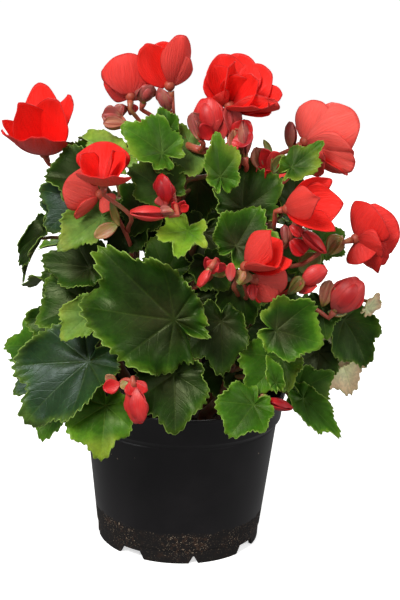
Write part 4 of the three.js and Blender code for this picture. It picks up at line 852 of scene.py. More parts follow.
def sheet(build, points, faces, rim, thickness, slots, tones, places):
    """A thin closed sheet round a middle surface, with a material for its upper and lower face."""
    points = np.asarray(points)
    normals = np.zeros_like(points)
    for corners in (3, 4):
        same = np.array([face for face in faces if len(face) == corners])
        if len(same) == 0:
            continue
        a, b, c, *d = (points[same[:, k]] for k in range(corners))
        face_normals = np.cross(c - a, d[0] - b) if d else np.cross(b - a, c - a)
        for k in range(corners):
            np.add.at(normals, same[:, k], face_normals)
    normals /= np.linalg.norm(normals, axis=1, keepdims=True)
    count = len(points)
    upper = points + normals * thickness / 2
    lower = points - normals * thickness / 2
    under = [[i + count for i in reversed(face)] for face in faces]
    edge = [[a, a + count, b + count, b] for a, b in zip(rim, [*rim[1:], rim[0]])]
    top_slot, under_slot = slots
    all_slots = [top_slot] * len(faces) + [under_slot] * len(under) + [top_slot] * len(edge)
    all_points = np.concatenate([upper, lower])
    all_faces = faces + under + edge
    build.add(all_points, all_faces, all_slots, np.tile(tones, (2, 1)), np.tile(places, (2, 1)))


def grid(size, left):
    """A grid from left to 1 across and 0 to 1 along: where its points are, its faces and its rim."""
    rows, columns = size
    across, along = np.meshgrid(np.linspace(left, 1, columns + 1), np.linspace(0, 1, rows + 1))
    width = columns + 1
    top = rows * width
    starts = [row * width + column for row in range(rows) for column in range(columns)]
    faces = [[a, a + 1, a + 1 + width, a + width] for a in starts]
    rim = [*range(width), *range(2 * width - 1, top + width, width)]
    rim += [*range(top + width - 2, top - 1, -1), *range(top - width, 0, -width)]
    return across.ravel(), along.ravel(), faces, rim


def add_egg(build, base, tip, width, slot, shade=0.5):
    """A closed egg from its base to its tip."""
    base = vec(base)
    along = vec(tip) - base
    length = np.linalg.norm(along)
    side = unit(np.cross(along, UP))
    other = unit(np.cross(along, side))
    angles = full_turn(EGG_SIDES)
    points = [base]
    tones = [[shade, 0, 0, 0]]
    places = [[0, 0]]
    for row in range(1, EGG_ROWS):
        turn = math.pi * row / EGG_ROWS
        share = 0.5 - 0.5 * math.cos(turn)
        radius = width / 2 * math.sin(turn)
        ring = np.outer(radius * np.cos(angles), side) + np.outer(radius * np.sin(angles), other)
        points.extend(base + along * share + ring)
        tones.extend([[shade, share, abs(math.cos(angle)), 0] for angle in angles])
        places.extend([[angle * width / 2, share * length] for angle in angles])
    points.append(base + along)
    tones.append([shade, 1, 0, 0])
    places.append([0, length])
    faces = []
    last = len(points) - 1
    top = last - EGG_SIDES
    for k in range(EGG_SIDES):
        following = (k + 1) % EGG_SIDES
        faces.append([0, 1 + following, 1 + k])
        for a in range(1, top, EGG_SIDES):
            b = a + EGG_SIDES
            faces.append([a + k, a + following, b + following, b + k])
        faces.append([top + k, top + following, last])
    build.add(points, faces, [slot] * len(faces), tones, places)


# Leaf blades
# The outline is a lopsided heart about the point where the stalk joins it. Angle 0 points to
# the tip, and the radius is a share of the length from the stalk to the tip.
def lobe_count(leaf):
    reach = np.linalg.norm(vec(leaf["tip"]) - vec(leaf["at"]))
    return LARGE_LEAF_LOBES if reach > LARGE_LEAF else LEAF_LOBES


def leaf_phase(leaf):
    return leaf["phase"] + DRAW_SHIFT * leaf["draw"]


def saw(turns):
    """A tooth with a quick rise and a slow fall, from 0 at its tip to 1 in its notch."""
    share = turns % 1.0
    return np.where(share < TOOTH_RISE, share / TOOTH_RISE, (1 - share) / (1 - TOOTH_RISE))


def leaf_radius(angle, leaf):
    size, forward, squareness = LEAF_HEART
    heart = size + forward * np.cos(angle) + squareness * np.cos(2 * angle)
    lopsided = 1 + leaf["lean"] * np.sin(angle)
    notch = 1 - LEAF_NOTCH_DEPTH * bump((math.pi - np.abs(angle)) / LEAF_NOTCH_SPREAD)
    point = 1 - LEAF_POINT_RISE * (1 - bump(angle / LEAF_POINT_SPREAD))
    lobes = 1 - LEAF_LOBE_DEPTH * (1 - np.cos(LEAF_LOBES * angle))
    return heart * lopsided * notch * point * lobes


def leaf_margin(angle, leaf):
    """How far the dips between lobes, the teeth and their small teeth cut into the outline."""
    lobes = lobe_count(leaf)
    phase = leaf_phase(leaf)
    uneven = 1 + 0.45 * np.sin(2 * angle + phase) + 0.25 * np.sin(5 * angle - 2 * phase)
    dips = leaf["lobed"] * (0.5 - 0.5 * np.cos(lobes * angle)) ** DIP_SHARPNESS * uneven
    forward = np.abs(angle) * lobes * TEETH_PER_LOBE / (2 * math.pi)
    tooth_size = 1 + 0.4 * np.sin(5 * angle + phase) + 0.35 * np.sin(11 * angle + 3 * phase)
    teeth = TOOTH_DEPTH * saw(forward) * tooth_size
    small_teeth = SMALL_TOOTH_DEPTH * saw(2 * forward + 0.4)
    return 1 - dips - teeth - small_teeth


def leaf_surface(leaf):
    """The middle surface of a blade: cupped, waved, quilted between its veins, rolled and bent."""
    at = vec(leaf["at"])
    reach = vec(leaf["tip"]) - at
    along = unit(reach)
    face = vec(leaf["face"])
    normal = unit(face - along * face.dot(along))
    side = np.cross(along, normal)
    half_bend = leaf["bend"] / 2
    length = np.linalg.norm(reach) * half_bend / math.sin(half_bend)
    lift = along * math.cos(half_bend) + normal * math.sin(half_bend)
    out = normal * math.cos(half_bend) - along * math.sin(half_bend)
    bend_radius = length / leaf["bend"]
    roll_radius = length / leaf["roll"]
    lobes = lobe_count(leaf)
    phase = leaf_phase(leaf)

    def surface(share, angle, reach_share):
        across = share * reach_share * np.sin(angle) * leaf["wide"] * length
        forward = share * reach_share * np.cos(angle) * length
        wave = leaf["wave"] * share**3 * np.sin(3 * angle + leaf["phase"])
        ripple = np.sin(FRILL_TURNS * angle + 2 * phase)
        ripple = ripple + FINE_FRILL * np.sin(FINE_FRILL_TURNS * angle - phase)
        frill = leaf["frill"] * share**5 * ripple
        quilt = QUILT * np.sin(math.pi * share) * np.abs(np.sin(lobes * angle / 2))
        height = length * (leaf["cup"] * share**2 + wave + frill + quilt)
        turn = across / roll_radius
        x = (roll_radius - height) * np.sin(turn)
        rise = roll_radius - (roll_radius - height) * np.cos(turn)
        tilt = forward / bend_radius
        y = (bend_radius + rise) * np.sin(tilt)
        z = (bend_radius + rise) * np.cos(tilt) - bend_radius
        return at + np.outer(x, side) + np.outer(y, lift) + np.outer(z, out)

    return surface


def add_leaf(build, leaf):
    """A blade of rings round the end of its stalk, with its teeth only near the margin."""
    surface = leaf_surface(leaf)
    count = lobe_count(leaf) * TEETH_PER_LOBE * TOOTH_STEPS
    angles = math.pi - 2 * math.pi * np.arange(count) / count
    outline = leaf_radius(angles, leaf)
    margin = leaf_margin(angles, leaf)
    sector = 2 * math.pi / lobe_count(leaf)
    from_vein = angles - sector * np.round(angles / sector)
    middle_light, margin_light, yellowing_and_sheen = LEAF_LOOKS[leaf["look"]]
    draw = leaf["draw"]
    points = [surface(np.zeros(1), np.zeros(1), np.zeros(1))]
    tones = [[[middle_light, 0, yellowing_and_sheen, draw]]]
    places = [[[0, 0]]]
    for ring in range(1, LEAF_RINGS + 1):
        share = (ring / LEAF_RINGS) ** RING_CROWDING
        radius = outline * (1 + (margin - 1) * share**5)
        points.append(surface(np.full(count, share), angles, radius))
        light = middle_light + (margin_light - middle_light) * share**2
        tones.append(np.tile([light, share, yellowing_and_sheen, draw], (count, 1)))
        spread = share * radius
        across, along = np.abs(spread * np.sin(from_vein)), spread * np.cos(from_vein)
        places.append(np.column_stack([across, along]))
    faces = [[0, 1 + k, 1 + (k + 1) % count] for k in range(count)]
    last_ring = 1 + (LEAF_RINGS - 1) * count
    for inner in range(1, last_ring, count):
        outer = inner + count
        for k in range(count):
            following = (k + 1) % count
            faces.append([inner + k, outer + k, outer + following, inner + following])
    rim = list(range(last_ring, last_ring + count))
    points, tones, places = (np.concatenate(parts) for parts in (points, tones, places))
    sheet(build, points, faces, rim, BLADE, (LEAF_TOP, LEAF_UNDER), tones, places)


def add_leaf_stalk(build, stem, leaf):
    """The stalk ends square to the blade, just in front of its notch."""
    start = spline_point(stem, leaf["start"])
    surface = leaf_surface(leaf)
    centre, ahead, left, right = (
        surface(np.array([share]), np.array([angle]), np.array([1.0]))[0]
        for share, angle in LEAF_PROBES
    )
    normal = unit(np.cross(right - centre, left - centre))
    normal *= math.copysign(1, normal.dot(vec(leaf["face"])))
    along = unit(ahead - centre)
    end = centre + along * STALK_SEAT
    neck = end - normal * STALK_NECK
    span = np.linalg.norm(end - start)
    sag = STALK_SAG * span
    under = neck - normal * sag - along * STALK_BACK * sag
    rise = start + UP * STALK_RISE * span
    rise += STALK_LEAN * (under - rise)
    if "via" in leaf:
        route = spline([start, leaf["via"], neck], STALK_STEPS)
    else:
        route = bezier(start, rise, under, neck, STALK_STEPS)
    radii = [*np.linspace(LEAF_STALK_RADIUS, LEAF_STALK_END_RADIUS, STALK_STEPS), LEAF_STALK_END_RADIUS]
    tube(build, [*route, end], radii, STALK_SIDES, LEAF_STALK, leaf["draw"])


# Stems with what they bear
def add_flower_stalk(build, stem, stalk, carried):
    """The stalk ends in a small knob, just clear of the flower or bud that it carries."""
    start = spline_point(stem, stalk["start"])
    base = vec(carried["base"])
    is_bloom = "axis" in carried
    axis = unit(vec(carried["axis"]) if is_bloom else vec(carried["tip"]) - base)
    seat = RECEPTACLE_RADIUS + FIT_GAP if is_bloom else FIT_GAP
    end = base - axis * seat
    neck = end - axis * FLOWER_NECK
    middle = neck + axis * FLOWER_NECK / 2
    route = spline([start, *stalk["via"], neck], STALK_STEPS)
    radii = [FLOWER_STALK_RADIUS] * STALK_STEPS
    radii += [(FLOWER_STALK_RADIUS + FLOWER_KNOB_RADIUS) / 2, FLOWER_KNOB_RADIUS]
    tube(build, [*route, middle, end], radii, STALK_SIDES, FLOWER_STALK)


def make_shoot(shoot, carried):
    build = Build()
    x, y = shoot["stem"][0]
    stem = [[x, y, SOIL_TOP + COLLAR_RISE], *shoot["stem"][1:]]
    route = [[x, y, SOIL_TOP - ROOT_DEPTH], *spline(stem, STEM_STEPS)]
    radii = [STEM_RADIUS, *np.linspace(STEM_RADIUS, STEM_TIP_RADIUS, STEM_STEPS)]
    to_node = [i % NODE_EVERY - NODE_EVERY / 2 for i in range(len(radii))]
    swell = [1 + NODE_SWELL * bump(away / NODE_SPREAD) for away in to_node]
    swollen = [radius * grown for radius, grown in zip(radii, swell)]
    tube(build, route, swollen, STEM_SIDES, STEM, 0.5)
    for i, row in enumerate(shoot["leaves"]):
        leaf = {**row, "phase": WAVE_SHIFT * i, "draw": draws.random()}
        add_leaf_stalk(build, stem, leaf)
        add_leaf(build, leaf)
    for stalk in shoot["flowers"]:
        add_flower_stalk(build, stem, stalk, carried[stalk["to"]])
    return build.finish(f"{shoot['name']}_leaves", SHOOT_MATERIALS)


# Petals
# A broad spoon shape: it widens from a neck to half way along, and its far edge is an arch. It
# curls across its width and bends along its length towards its inner face.
def petal_girth(t, point):
    before = np.minimum(t / PETAL_WIDEST, 1)
    beyond = np.maximum(t - PETAL_WIDEST, 0) / (1 - PETAL_WIDEST)
    widening = PETAL_NECK + (1 - PETAL_NECK) * np.sin(math.pi / 2 * before)
    return widening * (1 - (PETAL_NARROWING + POINT_NARROWING * point) * beyond**2)


def petal_surface(petal):
    half_bend = petal["bend"] / 2
    reach = vec(petal["tip"]) - petal["at"]
    ahead = unit(reach)
    face = vec(petal["face"])
    normal = unit(face - ahead * face.dot(ahead))
    along = ahead * math.cos(half_bend) - normal * math.sin(half_bend)
    inner = normal * math.cos(half_bend) + ahead * math.sin(half_bend)
    side = np.cross(along, inner)
    length = np.linalg.norm(reach) * half_bend / math.sin(half_bend)
    bend_radius = length / petal["bend"]
    roll_radius = petal["width"] / 2 / petal["curl"]

    def surface(s, t):
        turn = s * petal_girth(t, petal["point"]) * petal["width"] / 2 / roll_radius
        ruffle = petal["ruffle"] * length * t**3 * np.sin(4 * s + petal["phase"])
        frill = PETAL_FRILL * length * t**4 * np.sin(9 * s + 3 * petal["phase"])
        rise = roll_radius * (1 - np.cos(turn)) + ruffle + frill
        x = roll_radius * np.sin(turn)
        forward = length * (t - PETAL_ARCH * s * s * t**3) / bend_radius
        y = (bend_radius - rise) * np.sin(forward)
        z = bend_radius - (bend_radius - rise) * np.cos(forward)
        return petal["at"] + np.outer(x, side) + np.outer(y, along) + np.outer(z, inner)

    return surface, length


def add_petal(build, petal, slots, size):
    surface, length = petal_surface(petal)
    s, t, faces, rim = grid(size, -1)
    away = np.abs(s)
    corner_round = 1 - PETAL_ROUNDING * away**5 - petal["point"] * away**1.4
    points = surface(s, t * corner_round)
    shades = np.full(len(s), petal["shade"])
    tones = np.column_stack([shades, t, away, np.full(len(s), petal["phase"] % 1)])
    girth = petal_girth(t, petal["point"]) * petal["width"] / 2
    places = np.column_stack([s * girth, t * length])
    sheet(build, points, faces, rim, PETAL, slots, tones, places)


def make_bloom(bloom):
    build = Build()
    axis = unit(vec(bloom["axis"]))
    base = vec(bloom["base"])
    for i, row in enumerate(bloom["petals"]):
        shade = bloom["pale"] + PALENESS_SPREAD * (draws.random() - 0.5)
        reach = vec(row["tip"]) - base
        at = base + unit(reach - axis * reach.dot(axis)) * row["foot"]
        petal = {**row, "at": at, "phase": WAVE_SHIFT * i, "shade": shade}
        add_petal(build, petal, (PETAL_INNER, PETAL_OUTER), PETAL_GRID)
    core = axis * RECEPTACLE_RADIUS
    add_egg(build, base - core, base + core, 2 * RECEPTACLE_RADIUS, CORE)
    return build.finish(f"{bloom['name']}_petals", BLOOM_MATERIALS)


# Buds, seed pods, bracts and small stalks
def bud_tepal(build, bud, inward, shade):
    """One of the two shells of a bud: it bows outwards, and its margins meet the other's."""
    width = bud["width"] * TEPAL_SHAPE["curl"] / math.sin(TEPAL_SHAPE["curl"])
    tepal = {**petal_to(bud["tip"], inward, width, **TEPAL_SHAPE), "shade": shade, "phase": shade}
    tepal["at"] = vec(bud["base"])
    add_petal(build, tepal, (0, 0), BUD_GRID)


def make_bud(bud):
    """A bud is two clasped tepals round a closed heart."""
    build = Build()
    shade, base_shade = BUD_LOOKS[bud["look"]]
    base, tip = vec(bud["base"]), vec(bud["tip"])
    along = tip - base
    side = unit(np.cross(along, UP))
    flat = side if bud["broad"] else unit(np.cross(along, side))
    inset = (1 - BUD_HEART) / 2 * along
    add_egg(build, base + inset, tip - inset, BUD_HEART * bud["width"] * BUD_FLATNESS, 0, shade)
    bud_tepal(build, bud, flat, shade)
    bud_tepal(build, bud, -flat, shade + SECOND_TEPAL_SHADE)
    add_egg(build, base - unit(along), base + BUD_FOOT * unit(along), BUD_FOOT, 0, base_shade)
    return build.finish(f"{bud['name']}_tepals", [bud_material])


def add_pod(build, at, tip, reach, turn, shade):
    """A slim body with three broad wings, widest towards the flower."""
    base = vec(at)
    along = unit(vec(tip) - base)
    length = np.linalg.norm(vec(tip) - base)
    side = unit(np.cross(along, UP))
    other = np.cross(along, side)
    add_egg(build, base, tip, POD_BODY, 0, shade)
    s, t, faces, rim = grid(WING_GRID, 0)
    width = WING_FOOT + np.sin(math.pi * t) ** WING_ROUNDING * (WING_WIDTH + WING_FLARE * t)
    for k, wing_size in enumerate(WING_SIZES):
        angle = 2 * math.pi * (turn + k / len(WING_SIZES))
        out = math.cos(angle) * side + math.sin(angle) * other
        spread = s * reach * width * wing_size
        bow = WING_BOW * reach * s**2 * np.sin(math.pi * t + k)
        points = base + np.outer(t * length, along) + np.outer(spread, out)
        points = points + np.outer(bow, np.cross(along, out))
        tones = np.column_stack([np.full(len(s), shade), t, s, np.zeros(len(s))])
        sheet(build, points, faces, rim, PETAL, (0, 0), tones, np.column_stack([spread, t * length]))


def make_pods():
    build = Build()
    for pod in PODS:
        add_pod(build, *pod)
    return build.finish("seed_pods", [bud_material])


def make_bracts():
    build = Build()
    for i, (at, tip, width, face, shade) in enumerate(BRACTS):
        bract = petal_to(tip, face, width, ruffle=BRACT_RUFFLE, shade=shade, phase=WAVE_SHIFT * i)
        add_petal(build, {**bract, "at": vec(at)}, (0, 0), BRACT_GRID)
    return build.finish("bracts", [bud_material])


def make_twigs():
    build = Build()
    for radius, *points in TWIGS:
        tube(build, spline(points, STALK_STEPS), [radius] * STALK_STEPS, STALK_SIDES, 0)
    return build.finish("forking_stalks", [SHOOT_MATERIALS[FLOWER_STALK]])


# Pot and soil
def rounded(profile):
    """The profile with each corner turned into a short arc."""
    profile = [vec(p) for p in profile]
    result = [profile[0]]
    for before, corner, after in zip(profile, profile[1:], profile[2:]):
        ways = (before - corner, after - corner)
        shares = [min(CORNER_RADIUS / np.linalg.norm(way), CORNER_LARGEST_SHARE) for way in ways]
        start, end = (corner + way * share for way, share in zip(ways, shares))
        for t in np.linspace(0, 1, CORNER_STEPS + 1):
            result.append((1 - t) ** 2 * start + 2 * t * (1 - t) * corner + t * t * end)
    result.append(profile[-1])
    return result


def rings(profile, sides):
    angles = full_turn(sides)
    return [[radius * math.cos(a), radius * math.sin(a), z] for radius, z in profile for a in angles]


def lathe(profile, sides):
    """A solid turned from a profile that starts and ends on the axis."""
    points = [[0, 0, profile[0][1]], [0, 0, profile[-1][1]], *rings(profile[1:-1], sides)]
    faces = []
    last = len(points) - sides
    for k in range(sides):
        following = (k + 1) % sides
        faces.append([0, 2 + following, 2 + k])
        faces.append([1, last + k, last + following])
        for a in range(2, last, sides):
            b = a + sides
            faces.append([a + k, a + following, b + following, b + k])
    return points, faces


def spoke(turn):
    """The way out from the pot's axis, at a turn in degrees from the front."""
    angle = math.radians(turn - 90)
    return np.array([math.cos(angle), math.sin(angle), 0])


def foot_cutter(bottom_width, top_width, height, turn):
    """A wedge that points inward from outside the foot ring."""
    bottom = bottom_width / 2 + CUTTER_FLARE
    top = top_width / 2
    outline = [(-bottom, -CUTTER_BELOW), (bottom, -CUTTER_BELOW), (top, height), (-top, height)]
    out = spoke(turn)
    side = np.cross(UP, out)
    ends = (POT_BASE_RADIUS - CUTTER_DEPTH, POT_BASE_RADIUS + CUTTER_PROUD)
    points = [out * radius + side * x + UP * z for radius in ends for x, z in outline]
    faces = [[3, 2, 1, 0], [4, 5, 6, 7]]
    faces += [[k, (k + 1) % 4, (k + 1) % 4 + 4, k + 4] for k in range(4)]
    return points, faces


def drain_cutter(turn):
    low = FLOOR_UNDERSIDE - FLOOR_THICKNESS
    high = FLOOR_TOP + FLOOR_THICKNESS
    points, faces = lathe([(0, low), (DRAIN_RADIUS, low), (DRAIN_RADIUS, high), (0, high)], DRAIN_SIDES)
    return np.array(points) + spoke(turn) * DRAIN_RING_RADIUS, faces


def make_pot():
    foot_outer = POT_BASE_RADIUS - FOOT_INSET
    foot_inner = foot_outer - FOOT_WALL
    profile = [
        (0, FLOOR_UNDERSIDE),
        (foot_inner, FLOOR_UNDERSIDE),
        (foot_inner, 0),
        (foot_outer, 0),
        (foot_outer + INNER_STEP, POT_STEP_HEIGHT - CREASE_RISE),
        (POT_BASE_RADIUS + STEP_PROUD, POT_STEP_HEIGHT),
        (POT_WALL_TOP_RADIUS, POT_WALL_TOP),
        (POT_WALL_TOP_RADIUS - GROOVE_DEPTH, POT_WALL_TOP + CREASE_RISE),
        (COLLAR_BOTTOM_RADIUS, COLLAR_BOTTOM),
        (COLLAR_TOP_RADIUS, POT_HEIGHT - LIP_HEIGHT),
        (LIP_RADIUS, POT_HEIGHT - LIP_HEIGHT),
        (LIP_RADIUS, POT_HEIGHT),
        (COLLAR_TOP_RADIUS - POT_WALL, POT_HEIGHT),
        (COLLAR_BOTTOM_RADIUS - POT_WALL - INNER_STEP, COLLAR_BOTTOM + INNER_STEP),
        (POT_WALL_TOP_RADIUS - POT_WALL, POT_WALL_TOP),
        (POT_BASE_RADIUS - POT_WALL, FLOOR_TOP),
        (0, FLOOR_TOP),
    ]
    pot = mesh_object("pot_shell", *lathe(rounded(profile), POT_SIDES), [pot_material])
    cut_points = []
    cut_faces = []
    for foot in range(FOOT_COUNT):
        middle = FIRST_FOOT_TURN + 360 / FOOT_COUNT * foot
        between = middle + 180 / FOOT_COUNT
        for points, faces in (
            foot_cutter(NOTCH_WIDTH, NOTCH_TOP_WIDTH, NOTCH_HEIGHT, middle),
            foot_cutter(RECESS_BOTTOM_WIDTH, RECESS_TOP_WIDTH, RECESS_HEIGHT, between),
            drain_cutter(between),
        ):
            cut_faces.extend([[i + len(cut_points) for i in face] for face in faces])
            cut_points.extend(np.asarray(points).tolist())
    cutter = mesh_object("cutter", cut_points, cut_faces, [pot_material])
    cut = pot.modifiers.new("cut", "BOOLEAN")
    cut.object = cutter
    cut.solver = "EXACT"
    mesh = bpy.data.meshes.new_from_object(pot.evaluated_get(bpy.context.evaluated_depsgraph_get()))
    pot.modifiers.clear()
    pot.data = mesh
    mesh.set_sharp_from_angle(angle=math.radians(SHARP_ANGLE))
    bpy.data.objects.remove(cutter)
    return pot


def soil_rise(x, y):
    """How far the soil's uneven top stands above its level, in millimetres."""
    return sum(height * noise.noise(Vector((x, y, SOIL_TOP)) * scale) for height, scale in SOIL_HUMPS)


def make_soil():
    """The plug of soil, a little clear of the pot's inside, with an uneven top."""
    bottom = FLOOR_TOP + FIT_GAP
    inside = POT_BASE_RADIUS - POT_WALL - SOIL_GAP
    edge = inside + POT_WALL_TOP_RADIUS - POT_BASE_RADIUS
    profile = [(0, bottom), (inside, bottom), (edge, POT_WALL_TOP), (edge, SOIL_TOP - SOIL_BEVEL)]
    profile += [(radius, SOIL_TOP) for radius in np.linspace(edge - SOIL_BEVEL, 1, SOIL_RINGS)]
    profile.append((0, SOIL_TOP))
    points, faces = lathe(profile, SOIL_SIDES)
    for point in points:
        if point[2] == SOIL_TOP:
            point[2] += soil_rise(point[0], point[1])
    return mesh_object("soil_bed", points, faces, [soil_material])


def make_crumbs():
    """Crumbs of peat and bark, pressed a little into the top of the soil."""
    mesh = bmesh.new()
    for _ in range(CRUMB_COUNT):
        radius = CRUMB_SPREAD * math.sqrt(draws.random())
        turn = draws.uniform(0, 2 * math.pi)
        size = draws.uniform(*CRUMB_SIZES)
        verts = bmesh.ops.create_icosphere(mesh, subdivisions=1, radius=size)["verts"]
        width, height = draws.uniform(*CRUMB_WIDTHS), draws.uniform(*CRUMB_HEIGHTS)
        squash = Matrix.Diagonal((1, width, height, 1))
        spin = Matrix.Rotation(draws.uniform(0, CRUMB_SPIN), 4, "Z")
        lean = Matrix.Rotation(draws.uniform(-CRUMB_LEAN, CRUMB_LEAN), 4, "X")
        x, y = radius * math.cos(turn), radius * math.sin(turn)
        place = Matrix.Translation((x, y, SOIL_TOP + soil_rise(x, y) + CRUMB_LIFT * size))
        bmesh.ops.transform(mesh, matrix=place @ (spin @ lean) @ squash, verts=verts)
        for vert in verts:
            vert.co += Vector([draws.uniform(-CRUMB_DENT, CRUMB_DENT) * size for _ in range(3)])
    bmesh.ops.scale(mesh, vec=(MM, MM, MM), verts=mesh.verts)
    data = bpy.data.meshes.new("soil_crumbs")
    mesh.to_mesh(data)
    mesh.free()
    data.materials.append(soil_material)
    return place_new("soil_crumbs", data)


# Materials
def paint(red, green, blue):
    """A colour given as 0 to 255 on a screen, as linear light."""
    return tuple(((c / 255 + 0.055) / 1.055) ** 2.4 for c in (red, green, blue)) + (1,)


class Shader:
    def __init__(self, name, **settings):
        self.material = bpy.data.materials.new(name)
        self.material.use_nodes = True
        self.tree = self.material.node_tree
        self.surface = self.tree.nodes["Principled BSDF"]
        for key, value in settings.items():
            self.put(self.surface.inputs[key.replace("_", " ")], value)

    def put(self, socket, value):
        if isinstance(value, bpy.types.NodeSocket):
            self.tree.links.new(value, socket)
        else:
            socket.default_value = value

    def node(self, kind, settings=None, **inputs):
        node = self.tree.nodes.new("ShaderNode" + kind)
        for key, value in (settings or {}).items():
            setattr(node, key, value)
        for key, value in inputs.items():
            self.put(node.inputs[key.replace("_", " ")], value)
        return node

    def fill(self, node, values):
        """Fills the node's first inputs in order, and gives its first output."""
        for socket, value in zip(node.inputs, values):
            self.put(socket, value)
        return node.outputs[0]

    def math(self, operation, a, b):
        return self.fill(self.node("Math", {"operation": operation}), (a, b))

    def plus(self, a, b):
        return self.math("ADD", a, b)

    def minus(self, a, b):
        return self.math("SUBTRACT", a, b)

    def times(self, a, b):
        return self.math("MULTIPLY", a, b)

    def most(self, a, b):
        return self.math("MAXIMUM", a, b)

    def swing(self, value, amount):
        """A noise as a change up and down about nothing."""
        return self.times(self.minus(value, 0.5), amount)

    def smooth(self, value, low, high, start=0.0, end=1.0):
        """Goes from start to end as the value goes from low to high."""
        node = self.node("MapRange", {"interpolation_type": "SMOOTHSTEP"})
        return self.fill(node, (value, low, high, start, end))

    def spread(self, value, start, end):
        """Spreads a noise over the whole way from start to end."""
        return self.smooth(value, 0.3, 0.7, start, end)

    def mix(self, factor, a, b, blend="MIX"):
        node = self.node("Mix", {"data_type": "RGBA", "blend_type": blend})
        self.put(node.inputs[0], factor)
        self.put(node.inputs[6], a)
        self.put(node.inputs[7], b)
        return node.outputs[2]

    def ramp(self, value, *stops):
        node = self.node("ValToRGB", Fac=value)
        elements = node.color_ramp.elements
        while len(elements) < len(stops):
            elements.new(0.5)
        for element, (position, colour) in zip(elements, stops):
            element.position = position
            element.color = colour
        return node.outputs[0]

    def noise(self, scale, detail=3.0, vector=None, roughness=0.55):
        vector = vector or self.node("TexCoord").outputs["Object"]
        inputs = dict(Scale=scale, Detail=detail, Roughness=roughness, Vector=vector)
        return self.node("TexNoise", **inputs).outputs[0]

    def tone(self):
        node = self.node("Attribute", {"attribute_name": "tone"})
        parts = self.node("SeparateColor", Color=node.outputs["Color"])
        return [*parts.outputs[:3], node.outputs["Alpha"]]

    def place(self):
        return self.node("UVMap", {"uv_map": "place"}).outputs[0]

    def stretched(self, vector, x, y, z=1.0):
        return self.fill(self.node("VectorMath", {"operation": "MULTIPLY"}), (vector, (x, y, z)))

    def finish(self, colour, roughness, height, strength, depth_mm):
        self.put(self.surface.inputs["Base Color"], colour)
        self.put(self.surface.inputs["Roughness"], roughness)
        relief = self.node("Bump", Height=height, Strength=strength, Distance=depth_mm * MM)
        self.put(self.surface.inputs["Normal"], relief.outputs[0])
        return self.material


def leaf_veins(sh):
    """Masks of the main veins, of the side veins that leave them, and of the net between."""
    place = sh.place()
    across, along = sh.node("SeparateXYZ", Vector=place).outputs[:2]
    share = sh.tone()[1]
    taper = sh.times(sh.minus(1.05, share), 0.009)
    main = sh.smooth(sh.minus(across, taper), 0.0, 0.012, 1.0, 0.0)
    wobble = sh.times(sh.noise(9, 2, place), 0.7)
    run = sh.minus(sh.times(along, 8.0), sh.times(across, 9.0))
    side = sh.smooth(sh.math("PINGPONG", sh.plus(run, wobble), 0.5), 0.0, 0.12, 1.0, 0.0)
    cells = sh.node("TexVoronoi", {"feature": "DISTANCE_TO_EDGE"}, Vector=place, Scale=24.0)
    net = sh.smooth(cells.outputs[0], 0.0, 0.2, 1.0, 0.0)
    return main, side, net


